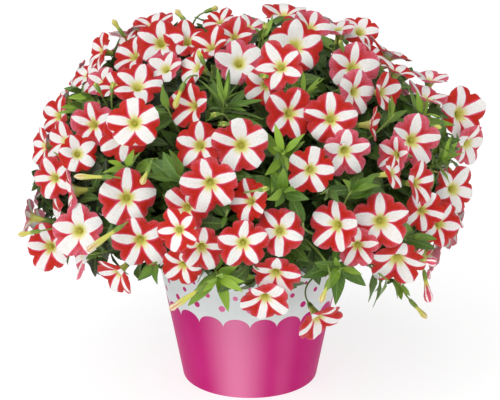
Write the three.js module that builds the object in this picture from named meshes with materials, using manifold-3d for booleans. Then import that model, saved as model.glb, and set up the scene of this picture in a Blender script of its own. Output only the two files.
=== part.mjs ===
// A petunia in a round tapered pot: a full mound of five-lobed blooms over leafy shoots, with
// stems that stand in the soil. Millimetres, +Z up, origin at the centre of the pot's underside.
// The bloom and tuft lists below were read off by eye from one viewpoint, in front at -Y.
import * as THREE from "three";
import { mergeVertices } from "three/addons/utils/BufferGeometryUtils.js";
import Module from "manifold-3d";

// Pot
const POT_BASE_RADIUS = 70;
const POT_HEIGHT = 145;
const POT_TAPER = 0.187; // how far the wall leans out for each mm up
const POT_WALL = 2.2;
const POT_FLOOR = 3;
const POT_CHAMFER = 1.6;
const RIM_HEIGHT = 7;
const RIM_REACH = 2.6; // how far the rim stands out from the wall
const RIM_EDGE = 1; // bevel of the rim's edges
const ROUND_SIDES = 40;
const DRAIN_COUNT = 6;
const DRAIN_RADIUS = 4.5;
const DRAIN_CIRCLE_RADIUS = 48;
const DRAIN_SIDES = 6;

// Soil, with a hole for each stem
const SOIL_TOP = 135;
const REST_GAP = 0.35; // between pieces that rest on each other
const HOLE_DEPTH = 12;
const HOLE_RADIUS = 3.5;
const HOLE_SIDES = 4;

// The mound on which the bloom centres lie: half an ellipsoid above its widest level, and the
// upper part of a flatter half below it
const MOUND_Z = 210;
const MOUND_RADIUS = 222;
const MOUND_RISE = 168;
const MOUND_DROP = 140;
const MOUND_LOWEST = -0.46; // lowest bloom of the lattice, as a share of the drop

// Bloom
const LOBES = 5;
const NOTCH_SHARE = 0.86; // radius at a notch, as a share of the radius at a lobe
const NOTCH_LIFT = 1.2;
const THROAT_RADIUS = 4.2;
const THROAT_RIM_DEPTH = 1.2;
const THROAT_DEPTH = 6;
const LIMB_BACK_RADIUS = 5;
const LIMB_BACK_DEPTH = 3.6;
const TUBE_LENGTH = 27;
const TUBE_RADIUS = 1.9;
const STALK_RADIUS = 1;
const STALK_ROOT_RADIUS = 0.7;
const STALK_BEND = 9; // from the tube's end to the bend of a swayed stalk
const STALK_SIDES = 3;

// Stems
const STEM_COUNT = 42;
const LEAFY_EVERY = 3; // one stem in three bears leaves, the others bear blooms
const STEM_RADIUS = 2.1;
const STEM_SIDES = 4;
const STEM_STEPS = 3;
const STEM_COLLAR = 4; // straight part above the soil
const STEM_FOOT_CIRCLES = [12, 78]; // of the stems that rise to the top, and of the outermost
const STEM_REACH = 0.66; // share of the way to the mound's surface at which a stem forks
const STEM_ARCH = 26; // how much the outermost fork is raised
const STEM_LEAN = 1.12;
const STEM_SHOULDER = 30;
const KNOT_RADIUS = 3.6; // swelling from which the stalks or twigs of a stem spread

// Leaves
const TWIG_RADIUS = 1.2;
const TWIG_SIDES = 3;
const TWIG_KNOT_RADIUS = 2.8;
const YOUNG_TIP_LENGTH = 9;
const LEAVES_PER_TUFT = 3;
const LEAF_WIDTH_SHARE = 0.4;
const LEAF_DROOP = 0.18;
const LEAF_THICKNESS = 1.2;
const LEAF_ROOT = { share: 0.02, width: 1.4, thickness: 0.8 };
const LEAF_SECTIONS = [[0.38, 1], [0.72, 0.72]]; // share of the length, share of the width

// The viewpoint of the lists, and its focal length and centre in pixels of a 500 x 400 view
const EYE = new THREE.Vector3(0, -1500, 680);
const AIM = new THREE.Vector3(0, 0, 189);
const FOCAL_PIXELS = 1549;
const VIEW_CENTRE = [250, 200];

// Blooms in view, from back to front: centre x and y and true diameter in the view's pixels, then
// the way each one faces, as degrees to the viewer's right and degrees up, and its clockwise roll.
const SEEN_BLOOMS = [
  [152, 20, 42, -15, 58, 0], [218, 19, 32, -30, 42, 20], [250, 24, 32, 20, 52, 40],
  [284, 9, 46, 0, 62, 0], [312, 24, 40, 15, 32, 20], [338, 26, 32, -10, 58, 10],
  [361, 29, 38, 15, 30, 20], [376, 50, 34, 60, 40, 0], [398, 67, 38, 45, 60, 30],
  [431, 75, 38, 25, 65, 10], [428, 92, 44, 40, 55, 20], [472, 146, 44, 45, -25, 0],
  [234, 35, 38, -5, 20, 10], [122, 40, 38, -60, 50, 0], [97, 50, 38, -60, 10, 20],
  [92, 74, 44, -70, 20, 0], [75, 72, 30, -80, 30, 0], [62, 95, 32, -70, 40, 30],
  [84, 72, 34, -50, 35, 0], [100, 80, 34, -35, 30, 0], [27, 217, 36, -95, 10, 0],
  [67, 192, 46, -75, -5, 20], [113, 278, 44, -50, -38, 0], [112, 82, 38, -30, 40, 30],
  [164, 66, 38, -20, 30, 10], [193, 66, 38, -50, 20, 0], [208, 43, 42, -25, 30, 10],
  [264, 86, 42, -15, -10, 20], [358, 92, 46, 40, -5, 10], [388, 92, 40, 50, 0, 0],
  [122, 138, 48, -10, 0, 30], [60, 142, 40, -45, 0, 10], [40, 146, 38, -60, 0, 0],
  [185, 209, 46, -15, -10, 20], [358, 248, 42, 0, -20, 0], [424, 212, 42, 10, -10, 30],
  [422, 183, 42, 45, 0, 0], [376, 125, 36, 75, 0, 0], [392, 155, 38, -40, 0, 20],
  [396, 172, 34, 60, 10, 0], [181, 268, 42, -20, -30, 20], [275, 277, 50, -10, -35, 10],
  [130, 53, 44, -35, 25, 5], [137, 82, 50, 0, 35, 15], [54, 115, 42, -45, 10, 15],
  [91, 124, 48, -20, 5, -5], [134, 122, 52, 0, 5, -5], [160, 41, 50, -5, 15, 3],
  [187, 37, 48, 0, 40, -5], [239, 61, 50, 0, 20, -10], [279, 65, 48, -15, 10, -25],
  [297, 44, 56, 10, 15, 0], [354, 66, 52, 10, 15, 12], [188, 105, 46, -40, 5, 5],
  [292, 113, 54, 15, 0, 18], [331, 118, 54, 0, 5, 5], [415, 140, 52, 15, 0, 12],
  [465, 114, 55, 34, 0, -5], [198, 145, 50, -15, 5, 0], [241, 145, 56, 0, 0, -3],
  [346, 153, 50, 10, -20, 0], [311, 171, 49, 5, -10, 12], [78, 153, 40, 10, 10, -15],
  [52, 178, 42, -20, 0, -20], [126, 198, 57, 0, 0, 3], [248, 200, 44, -25, 10, -20],
  [210, 186, 58, 0, -20, -12], [77, 231, 52, -10, 0, -3], [47, 248, 48, -15, -5, -15],
  [140, 243, 57, 0, -20, -10], [178, 230, 42, -10, 0, -25], [202, 250, 48, 5, -25, 5],
  [280, 231, 50, 0, 0, 38], [243, 245, 52, 0, -15, 0], [333, 226, 54, -32, -5, 12],
  [381, 222, 57, 0, -5, -6], [457, 189, 46, 25, 0, 35], [443, 225, 46, 30, -5, 30],
  [398, 266, 56, 0, -45, 8], [265, 303, 48, 0, -40, 36], [322, 324, 50, 40, -45, 20],
];

// Leaf tufts in view: centre x and y in the view's pixels, then leaf length in mm.
const SEEN_TUFTS = [
  [222, 98, 40], [305, 92, 30], [210, 65, 26], [137, 27, 26], [86, 93, 28], [76, 102, 28],
  [260, 30, 28], [430, 112, 36], [450, 160, 32], [415, 242, 34], [345, 275, 34], [307, 228, 34],
  [178, 180, 40], [225, 215, 32], [120, 165, 32], [165, 105, 34], [285, 150, 34], [285, 190, 36],
  [355, 195, 34], [395, 115, 32], [215, 285, 36], [400, 292, 30], [255, 275, 34], [150, 270, 32],
];

// Blooms out of view, set by a lattice over the rest of the mound
const LATTICE_BLOOMS = 138;
const HIDDEN_BELOW = 0.36; // used where the cosine from the mound's normal to the eye is less
const BLOOM_SPACING = 37;
const LATTICE_BLOOM_RADII = [22, 26];
const LATTICE_BLOOM_LIFT = 0.25; // how much more than straight outwards a bloom looks up
const LATTICE_BLOOM_SWAY = 0.3;

// Tufts out of view, set where the lattice finds room between the blooms
const LATTICE_TUFTS = 420;
const TUFT_DEPTH = 14; // how far inside the surface of the bloom centres the tufts lie
const TUFT_TO_BLOOM = 25;
const TUFT_SPACING = 60;
const LATTICE_LEAF_LENGTH = 34;

// Blooms that would cross slide apart along their own way out, and then any piece that would touch
// another is shifted, swayed, turned or made smaller until it is clear
const SLIDE_START = -10;
const SLIDE_STEP = 3;
const SLIDE_STEPS = 14;
const LIMB_CLEARANCE = 3;
const TUBE_CLEARANCE = 4;
const PIECE_CLEARANCE = 0.3;
const BLOOM_SIZES = [1, 0.92, 0.84];
const BLOOM_SHIFTS = [0, 3, -3, 6, -6, 9, -9, 12, -12, 15];
const STALK_SWAYS = [9, 16];
const TWIG_SHORTENINGS = [0, 10, 20];
const TWIG_SWAYS = [10, 20, 30];
const SWAY_DIRECTIONS = 6;
const LEAF_TURNS = [0, 0.25, -0.25];
const LEAF_SIZES = [1, 0.8];
const LEAF_SPREADS = [50, 70, 30]; // degrees from the twig's direction

const wasm = await Module();
wasm.setup();

const UP = new THREE.Vector3(0, 0, 1);
const RING_REFERENCE = new THREE.Vector3(0.3, 0.9, 0.1); // lies along no stem or twig
const SWAY_REFERENCE = new THREE.Vector3(0.2, 0.3, 0.9);
const MOUND_CENTRE = new THREE.Vector3(0, 0, MOUND_Z);
const FULL_TURN = 2 * Math.PI;
const GOLDEN_ANGLE = Math.PI * (3 - Math.sqrt(5));
const GOLDEN_STEP = (Math.sqrt(5) - 1) / 2;
const SILVER_STEP = Math.SQRT2 - 1;
const BRONZE_STEP = (Math.sqrt(13) - 3) / 2;

// An even scatter between 0 and 1: the fraction left by steps of an irrational size.
const scatter = (index, step) => ((index + 1) * step) % 1;
const between = (low, high, share) => low + (high - low) * share;
const radians = (degrees) => (degrees * Math.PI) / 180;
const along = (point, direction, distance) => point.clone().addScaledVector(direction, distance);
const wayBetween = (start, end) => end.clone().sub(start).normalize();
const count = (number, make) => Array.from({ length: number }, (_, index) => make(index));

// ---------------------------------------------------------------- the mound

function moundPoint(unitHeight, azimuth) {
  const level = Math.sqrt(1 - unitHeight ** 2) * MOUND_RADIUS;
  const rise = unitHeight > 0 ? MOUND_RISE : MOUND_DROP;
  const z = MOUND_Z + rise * unitHeight;
  return new THREE.Vector3(level * Math.cos(azimuth), level * Math.sin(azimuth), z);
}

function moundNormal(point) {
  const rise = point.z > MOUND_Z ? MOUND_RISE : MOUND_DROP;
  const [x, y] = [point.x / MOUND_RADIUS ** 2, point.y / MOUND_RADIUS ** 2];
  return new THREE.Vector3(x, y, (point.z - MOUND_Z) / rise ** 2).normalize();
}

// Points spread evenly over the mound, from its top to its lowest level.
function moundLattice(number) {
  return count(number, (index) =>
    moundPoint(between(1, MOUND_LOWEST, (index + 0.5) / number), index * GOLDEN_ANGLE));
}

// ---------------------------------------------------------------- the view

const forward = wayBetween(EYE, AIM);
const rightward = new THREE.Vector3(1, 0, 0);
const upward = rightward.clone().cross(forward);

// The direction from the eye through a point of the view.
function sight(x, y) {
  const direction = along(forward, rightward, (x - VIEW_CENTRE[0]) / FOCAL_PIXELS);
  return along(direction, upward, (VIEW_CENTRE[1] - y) / FOCAL_PIXELS).normalize();
}

// Where a line of sight first meets the mound, or where it passes closest to it.
function moundInSight(direction) {
  const meet = (rise) => {
    const scale = new THREE.Vector3(MOUND_RADIUS, MOUND_RADIUS, rise);
    const start = EYE.clone().sub(MOUND_CENTRE).divide(scale);
    const way = direction.clone().divide(scale);
    const nearest = -start.dot(way) / way.lengthSq();
    const inside = nearest ** 2 - (start.lengthSq() - 1) / way.lengthSq();
    const point = along(start, way, nearest - Math.sqrt(Math.max(0, inside)));
    return point.multiply(scale).add(MOUND_CENTRE);
  };
  const upper = meet(MOUND_RISE);
  return upper.z > MOUND_Z ? upper : meet(MOUND_DROP);
}

// ---------------------------------------------------------------- where the blooms stand

// A bloom's frame: its centre, the way it faces, the direction of one lobe, its radius, and the
// way in which it slides to come clear of the others.
function bloomFrame(centre, facing, lobe, radius, wayOut) {
  const front = facing.normalize();
  const top = along(lobe, front, -lobe.dot(front)).normalize();
  return { centre, facing: front, lobe: top, radius, wayOut };
}

function seenBloom([x, y, pixels, yaw, pitch, roll]) {
  const direction = sight(x, y);
  const centre = moundInSight(direction);
  const level = Math.cos(radians(pitch));
  const facing = rightward.clone().multiplyScalar(Math.sin(radians(yaw)) * level)
    .addScaledVector(upward, Math.sin(radians(pitch)))
    .addScaledVector(forward, -Math.cos(radians(yaw)) * level);
  const lobe = upward.clone().applyAxisAngle(forward, radians(roll));
  const depth = centre.clone().sub(EYE).dot(forward);
  const radius = (pixels * depth) / FOCAL_PIXELS / 2;
  return bloomFrame(centre, facing, lobe, radius, direction.clone().negate());
}

function latticeBloom(centre, index) {
  const outward = moundNormal(centre);
  const sideways = new THREE.Vector3(-centre.y, centre.x, 0).normalize();
  const swing = (step) => between(-LATTICE_BLOOM_SWAY, LATTICE_BLOOM_SWAY, scatter(index, step));
  const facing = along(outward, sideways, swing(GOLDEN_STEP))
    .addScaledVector(UP, LATTICE_BLOOM_LIFT + swing(SILVER_STEP));
  const lobe = sideways.clone().applyAxisAngle(outward, FULL_TURN * scatter(index, BRONZE_STEP));
  const radius = between(...LATTICE_BLOOM_RADII, scatter(index, BRONZE_STEP));
  return bloomFrame(centre, facing, lobe, radius, outward);
}

// The corners of a limb: lobe, notch, lobe, and so on.
function limbCorners(bloom) {
  return count(2 * LOBES, (index) => {
    const [share, lift] = index % 2 ? [NOTCH_SHARE, NOTCH_LIFT] : [1, 0];
    const direction = bloom.lobe.clone().applyAxisAngle(bloom.facing, (-index * Math.PI) / LOBES);
    return along(along(bloom.centre, direction, bloom.radius * share), bloom.facing, lift);
  });
}

// Whether a straight line passes through a limb, or ends within the clearance of it.
function crossesLimb(start, end, bloom, margin) {
  const from = start.clone().sub(bloom.centre).dot(bloom.facing);
  const to = end.clone().sub(bloom.centre).dot(bloom.facing);
  const parted = from * to > 0;
  if (parted && Math.min(Math.abs(from), Math.abs(to)) > LIMB_CLEARANCE) return false;
  const nearerEnd = Math.abs(from) < Math.abs(to) ? 0 : 1;
  const share = parted ? nearerEnd : from / (from - to);
  return start.clone().lerp(end, share).distanceTo(bloom.centre) < bloom.radius + margin;
}

function bloomCrosses(one, other) {
  const corners = limbCorners(one);
  const tubeStart = along(one.centre, one.facing, -THROAT_DEPTH);
  const tubeEnd = along(one.centre, one.facing, -TUBE_LENGTH);
  return crossesLimb(tubeStart, tubeEnd, other, TUBE_CLEARANCE) || corners.some(
    (corner, index) => crossesLimb(corner, corners[(index + 1) % corners.length], other, 0));
}

// Slides a bloom out until it crosses none of those before it, or to where it crosses the fewest.
function slideClear(bloom, earlier) {
  const reach = 2 * bloom.radius + TUBE_LENGTH;
  let best = null;
  for (let step = 0; step < SLIDE_STEPS && (!best || best.crossings > 0); step += 1) {
    const centre = along(bloom.centre, bloom.wayOut, SLIDE_START + step * SLIDE_STEP);
    const slid = { ...bloom, centre };
    const crossings = earlier.filter((other) =>
      centre.distanceTo(other.centre) < reach &&
      (bloomCrosses(slid, other) || bloomCrosses(other, slid))).length;
    if (!best || crossings < best.crossings) best = { ...slid, crossings };
  }
  return best;
}

function layOutBlooms() {
  const seen = SEEN_BLOOMS.map(seenBloom);
  const blooms = [];
  seen.forEach((bloom) => blooms.push(slideClear(bloom, blooms)));
  moundLattice(LATTICE_BLOOMS).forEach((point, index) => {
    const hidden = moundNormal(point).dot(wayBetween(point, EYE)) < HIDDEN_BELOW;
    const roomy = seen.every((bloom) => bloom.centre.distanceTo(point) > BLOOM_SPACING);
    if (hidden && roomy) blooms.push(slideClear(latticeBloom(point, index), blooms));
  });
  return blooms;
}

// ---------------------------------------------------------------- where the tufts stand

function tuftAt(surface, leafLength) {
  return { point: along(surface, moundNormal(surface), -TUFT_DEPTH), leafLength };
}

function layOutTufts(blooms) {
  const tufts = SEEN_TUFTS.map(([x, y, leafLength]) => tuftAt(moundInSight(sight(x, y)), leafLength));
  moundLattice(LATTICE_TUFTS).forEach((surface) => {
    const tuft = tuftAt(surface, LATTICE_LEAF_LENGTH);
    const offBlooms = blooms.every((bloom) => bloom.centre.distanceTo(surface) > TUFT_TO_BLOOM);
    const offTufts = tufts.every((other) => other.point.distanceTo(tuft.point) > TUFT_SPACING);
    if (offBlooms && offTufts) tufts.push(tuft);
  });
  return tufts;
}

// ---------------------------------------------------------------- solids

function solidFrom(geometry) {
  const bare = geometry.clone();
  bare.deleteAttribute("normal");
  bare.deleteAttribute("uv");
  const merged = mergeVertices(bare, 1e-4);
  const corners = merged.index.array;
  const faces = [];
  for (let first = 0; first < corners.length; first += 3) {
    const face = [corners[first], corners[first + 1], corners[first + 2]];
    if (new Set(face).size === 3) faces.push(...face);
  }
  return new wasm.Manifold(new wasm.Mesh({
    numProp: 3,
    vertProperties: merged.attributes.position.array,
    triVerts: new Uint32Array(faces),
  }));
}

function geometryFrom(solid) {
  const mesh = solid.getMesh();
  const geometry = new THREE.BufferGeometry();
  geometry.setAttribute("position", new THREE.BufferAttribute(mesh.vertProperties, 3));
  geometry.setIndex(new THREE.BufferAttribute(mesh.triVerts, 1));
  geometry.computeVertexNormals();
  return geometry;
}

// The triangles between two rings of points, which may differ in number, as corner numbers counted
// from each ring's first. A ring of one point is a tip.
function ringStrip(nearFirst, near, farFirst, far) {
  const nearCorner = (corner) => nearFirst + (corner % near);
  const farCorner = (corner) => farFirst + (corner % far);
  const nearSteps = near === 1 ? 0 : near;
  const farSteps = far === 1 ? 0 : far;
  const faces = [];
  let [i, j] = [0, 0];
  while (i < nearSteps || j < farSteps) {
    const nearBehind = (i + 1) * farSteps <= (j + 1) * nearSteps;
    if (j === farSteps || (i < nearSteps && nearBehind)) {
      faces.push(nearCorner(i), nearCorner(i + 1), farCorner(j));
      i += 1;
    } else {
      faces.push(nearCorner(i), farCorner(j + 1), farCorner(j));
      j += 1;
    }
  }
  return faces;
}

// A closed skin over a chain of rings, whose points all turn the same way about its direction.
function skin(rings) {
  const firsts = rings.map((_, index) => rings.slice(0, index).flat().length);
  const fan = (first, corner) => [first, first + corner + 1, first + corner + 2];
  const caps = (ring) => Math.max(0, rings[ring].length - 2);
  const last = rings.length - 1;
  const faces = [
    ...count(caps(0), (corner) => fan(firsts[0], corner).reverse()),
    ...count(last, (ring) =>
      ringStrip(firsts[ring], rings[ring].length, firsts[ring + 1], rings[ring + 1].length)),
    ...count(caps(last), (corner) => fan(firsts[last], corner)),
  ].flat();
  const numbers = rings.flat().flatMap((point) => point.toArray());
  const geometry = new THREE.BufferGeometry();
  geometry.setAttribute("position", new THREE.Float32BufferAttribute(numbers, 3));
  geometry.setIndex(faces);
  return solidFrom(geometry);
}

// A ring of points about a centre, across a direction, that starts towards the reference.
function ringAcross(centre, direction, reference, radius, sides) {
  const axis = direction.clone().normalize();
  const start = along(reference, axis, -reference.dot(axis)).normalize();
  return count(sides, (side) =>
    along(centre, start.clone().applyAxisAngle(axis, (FULL_TURN * side) / sides), radius));
}

// A rod through some points that ends in a pointed knot.
function knottedRod(points, radius, knotRadius, tipLength, sides) {
  const last = points.length - 1;
  const rings = points.map((point, index) => {
    const way = wayBetween(points[Math.max(0, index - 1)], points[Math.min(last, index + 1)]);
    return ringAcross(point, way, RING_REFERENCE, index === last ? knotRadius : radius, sides);
  });
  const way = wayBetween(points[last - 1], points[last]);
  return skin([...rings, [along(points[last], way, tipLength)]]);
}

// ---------------------------------------------------------------- pot and soil

const outerRadius = (z) => POT_BASE_RADIUS + POT_TAPER * z;
const innerRadius = (z) => outerRadius(z) - POT_WALL;

function lathed(outline) {
  const points = outline.map(([radius, z]) => new THREE.Vector2(radius, z));
  return solidFrom(new THREE.LatheGeometry(points, ROUND_SIDES).rotateX(Math.PI / 2));
}

function uprightPrism(x, y, bottom, top, radius, sides) {
  const geometry = new THREE.CylinderGeometry(radius, radius, top - bottom, sides);
  return solidFrom(geometry.rotateX(Math.PI / 2).translate(x, y, (top + bottom) / 2));
}

function makePot() {
  const rimFoot = POT_HEIGHT - RIM_HEIGHT;
  const rimRadius = outerRadius(POT_HEIGHT) + RIM_REACH;
  const body = lathed([
    [0, 0],
    [POT_BASE_RADIUS - POT_CHAMFER, 0],
    [outerRadius(POT_CHAMFER), POT_CHAMFER],
    [outerRadius(rimFoot), rimFoot],
    [rimRadius, rimFoot + RIM_EDGE],
    [rimRadius, POT_HEIGHT - RIM_EDGE],
    [rimRadius - RIM_EDGE, POT_HEIGHT],
    [innerRadius(POT_HEIGHT), POT_HEIGHT],
    [innerRadius(POT_FLOOR), POT_FLOOR],
    [0, POT_FLOOR],
  ]);
  const drains = count(DRAIN_COUNT, (index) => {
    const angle = (FULL_TURN * (index + 0.5)) / DRAIN_COUNT;
    const x = DRAIN_CIRCLE_RADIUS * Math.cos(angle);
    const y = DRAIN_CIRCLE_RADIUS * Math.sin(angle);
    return uprightPrism(x, y, -1, POT_FLOOR + 1, DRAIN_RADIUS, DRAIN_SIDES);
  });
  return drains.reduce((pot, drain) => pot.subtract(drain), body);
}

function makeSoil(stemFeet) {
  const bottom = POT_FLOOR + REST_GAP;
  const body = lathed([
    [0, bottom],
    [innerRadius(bottom) - REST_GAP, bottom],
    [innerRadius(SOIL_TOP) - REST_GAP, SOIL_TOP],
    [0, SOIL_TOP],
  ]);
  const holes = stemFeet.map(({ x, y }) =>
    uprightPrism(x, y, SOIL_TOP - HOLE_DEPTH, SOIL_TOP + 1, HOLE_RADIUS, HOLE_SIDES));
  return holes.reduce((soil, hole) => soil.subtract(hole), body);
}

// ---------------------------------------------------------------- pieces of the plants

// A stem from its hole in the soil, over the rim where it leans out, to the point where it forks.
// The share grows from 0 for the stem to the top of the mound to 1 for the outermost.
function stemPath(tip, share) {
  const azimuth = Math.atan2(tip.y, tip.x);
  const [innermost, outermost] = STEM_FOOT_CIRCLES;
  const footCircle = Math.sqrt(between(innermost ** 2, outermost ** 2, share));
  const [x, y] = [footCircle * Math.cos(azimuth), footCircle * Math.sin(azimuth)];
  const foot = new THREE.Vector3(x, y, SOIL_TOP - HOLE_DEPTH + REST_GAP);
  const collar = new THREE.Vector3(x, y, SOIL_TOP + STEM_COLLAR);
  const fork = along(foot.clone().lerp(tip, STEM_REACH), UP, STEM_ARCH * share);
  const shoulderZ = between(SOIL_TOP, fork.z, 0.5) + STEM_SHOULDER * share;
  const shoulder = new THREE.Vector3(x * STEM_LEAN, y * STEM_LEAN, shoulderZ);
  const curve = new THREE.QuadraticBezierCurve3(collar, shoulder, fork);
  return [foot, ...curve.getPoints(STEM_STEPS)];
}

// A bloom with its tube, and a stalk that is straight, or bent where it sways aside.
function bloomSolid(bloom, stalkRoot, sway) {
  const { centre, lobe } = bloom;
  const inward = bloom.facing.clone().negate();
  const at = (depth) => along(centre, inward, depth);
  const bend = at(TUBE_LENGTH + STALK_BEND).add(sway);
  const rootWay = wayBetween(bend, stalkRoot);
  const bendWay = inward.clone().add(rootWay);
  const bendRing = ringAcross(bend, bendWay, lobe, STALK_RADIUS, STALK_SIDES);
  const turned = bendRing[0].clone().sub(bend);
  return skin([
    [at(THROAT_DEPTH)],
    ringAcross(at(THROAT_RIM_DEPTH), inward, lobe, THROAT_RADIUS, LOBES),
    limbCorners(bloom),
    ringAcross(at(LIMB_BACK_DEPTH), inward, lobe, LIMB_BACK_RADIUS, STALK_SIDES),
    ringAcross(at(TUBE_LENGTH), inward, lobe, TUBE_RADIUS, STALK_SIDES),
    ...(sway.lengthSq() > 0 ? [bendRing] : []),
    ringAcross(stalkRoot, rootWay, turned, STALK_ROOT_RADIUS, STALK_SIDES),
  ]);
}

// An arched blade, flat above and keeled below, with its root sunk in the knot at its base.
function leafSolid(base, direction, face, length) {
  const side = direction.clone().cross(face).normalize();
  const upper = side.clone().cross(direction).normalize();
  const middle = (share) =>
    along(along(base, direction, share * length), upper, -LEAF_DROOP * length * share ** 2);
  const section = (share, width, thickness) => [
    along(middle(share), upper, -thickness),
    along(middle(share), side, -width / 2),
    along(middle(share), side, width / 2),
  ];
  const width = LEAF_WIDTH_SHARE * length;
  return skin([
    section(LEAF_ROOT.share, LEAF_ROOT.width, LEAF_ROOT.thickness),
    ...LEAF_SECTIONS.map(([share, part]) => section(share, part * width, LEAF_THICKNESS)),
    [middle(1)],
  ]);
}

// ---------------------------------------------------------------- pieces that clear each other

const placed = [];

function place(solid) {
  placed.push({ solid, box: solid.boundingBox() });
  return solid;
}

function boxesApart(one, other) {
  return [0, 1, 2].some((axis) =>
    one.min[axis] > other.max[axis] + PIECE_CLEARANCE ||
    other.min[axis] > one.max[axis] + PIECE_CLEARANCE);
}

// The first way to make a piece that clears all but the pieces it grows from, or nothing.
function placeFirstClear(carriers, makers) {
  for (const make of makers) {
    const solid = make();
    const box = solid.boundingBox();
    const clear = placed.every((other) =>
      boxesApart(box, other.box) || carriers.includes(other.solid) ||
      solid.minGap(other.solid, PIECE_CLEARANCE) >= PIECE_CLEARANCE);
    if (clear) return place(solid);
  }
  return null;
}

// No sway at all, and then sways in some directions across a line, by each of some distances.
function swaysAcross(direction, distances) {
  const start = direction.clone().cross(SWAY_REFERENCE).normalize();
  const sways = distances.flatMap((distance) => count(SWAY_DIRECTIONS, (step) =>
    start.clone().applyAxisAngle(direction, (FULL_TURN * step) / SWAY_DIRECTIONS)
      .multiplyScalar(distance)));
  return [new THREE.Vector3(), ...sways];
}

function growBloom(stem, bloom) {
  const sways = swaysAcross(bloom.facing, STALK_SWAYS);
  const makers = BLOOM_SIZES.flatMap((size) => BLOOM_SHIFTS.flatMap((shift) => {
    const centre = along(bloom.centre, bloom.wayOut, shift);
    const shifted = { ...bloom, centre, radius: bloom.radius * size };
    return sways.map((sway) => () => bloomSolid(shifted, stem.path.at(-1), sway));
  }));
  const solid = placeFirstClear(stem.parts, makers);
  if (solid) stem.parts.push(solid);
}

// A twig from the stem's fork, as its solid, the point where its leaves spread, and its direction.
function growTwig(stem, tuft) {
  const fork = stem.path.at(-1);
  let grown = null;
  const makers = TWIG_SHORTENINGS.flatMap((shortening) => {
    const end = along(tuft.point, moundNormal(tuft.point), -shortening);
    return swaysAcross(wayBetween(fork, end), TWIG_SWAYS).map((sway) => () => {
      const middle = fork.clone().lerp(end, 0.5).add(sway);
      const path = [fork, middle, end];
      grown = { end, way: wayBetween(middle, end) };
      return knottedRod(path, TWIG_RADIUS, TWIG_KNOT_RADIUS, YOUNG_TIP_LENGTH, TWIG_SIDES);
    });
  });
  const solid = placeFirstClear(stem.parts, makers);
  return solid && { solid, ...grown };
}

function growTuft(stem, tuft, tuftIndex) {
  const twig = growTwig(stem, tuft);
  if (!twig) return;
  const pieces = [twig.solid];
  const axis = twig.way.add(moundNormal(twig.end)).normalize();
  const start = axis.clone().cross(SWAY_REFERENCE).normalize();
  for (let leaf = 0; leaf < LEAVES_PER_TUFT; leaf += 1) {
    const turn = FULL_TURN * (scatter(tuftIndex, GOLDEN_STEP) + leaf / LEAVES_PER_TUFT);
    const makers = LEAF_TURNS.flatMap((extra) => LEAF_SIZES.flatMap((size) =>
      LEAF_SPREADS.map((spread) => () => {
        const outward = start.clone().applyAxisAngle(axis, turn + extra);
        const [rise, reach] = [Math.cos(radians(spread)), Math.sin(radians(spread))];
        const direction = axis.clone().multiplyScalar(rise).addScaledVector(outward, reach);
        const face = axis.clone().multiplyScalar(reach).addScaledVector(outward, -rise);
        return leafSolid(twig.end, direction, face, tuft.leafLength * size);
      })));
    const solid = placeFirstClear(pieces, makers);
    if (solid) pieces.push(solid);
  }
  stem.parts.push(...pieces);
}

// ---------------------------------------------------------------- the object

const finish = (color, roughness) =>
  new THREE.MeshStandardMaterial({ color, roughness, metalness: 0, flatShading: true });
const POT_PLASTIC = finish(0xc82d82, 0.4);
const SOIL = finish(0x33261c, 0.95);
const PETAL = finish(0xc8342c, 0.6);
const LEAF = finish(0x4a7a2e, 0.6);

const pot = place(makePot());
const stems = moundLattice(STEM_COUNT).map((tip, index) => {
  const path = stemPath(tip, (index + 0.5) / STEM_COUNT);
  const solid = place(knottedRod(path, STEM_RADIUS, KNOT_RADIUS, KNOT_RADIUS, STEM_SIDES));
  return { tip, path, leafy: index % LEAFY_EVERY === 1, parts: [solid] };
});
const flowerStems = stems.filter((stem) => !stem.leafy);
const leafyStems = stems.filter((stem) => stem.leafy);

function nearestOf(candidates, point) {
  return candidates.reduce((best, stem) =>
    stem.tip.distanceTo(point) < best.tip.distanceTo(point) ? stem : best);
}

const blooms = layOutBlooms();
blooms.forEach((bloom) => growBloom(nearestOf(flowerStems, bloom.centre), bloom));
layOutTufts(blooms).forEach((tuft, index) =>
  growTuft(nearestOf(leafyStems, tuft.point), tuft, index));

const petunia = new THREE.Group();
function addNode(name, solid, material) {
  const mesh = new THREE.Mesh(geometryFrom(solid), material);
  mesh.name = name;
  petunia.add(mesh);
}
function addPlants(name, grown, material) {
  grown.forEach((stem, index) => {
    const solid = stem.parts.reduce((whole, part) => whole.add(part));
    addNode(`${name}_${String(index + 1).padStart(2, "0")}`, solid, material);
  });
}

addNode("pot", pot, POT_PLASTIC);
addNode("soil", makeSoil(stems.map((stem) => stem.path[0])), SOIL);
addPlants("flower_spray", flowerStems, PETAL);
addPlants("leafy_shoot", leafyStems, LEAF);

export default petunia;
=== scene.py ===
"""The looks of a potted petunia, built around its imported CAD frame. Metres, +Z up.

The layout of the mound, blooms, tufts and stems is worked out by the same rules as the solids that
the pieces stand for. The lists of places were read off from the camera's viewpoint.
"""
from dataclasses import dataclass, replace

import bpy
import numpy as np
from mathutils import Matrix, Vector
from numpy.linalg import norm


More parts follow.
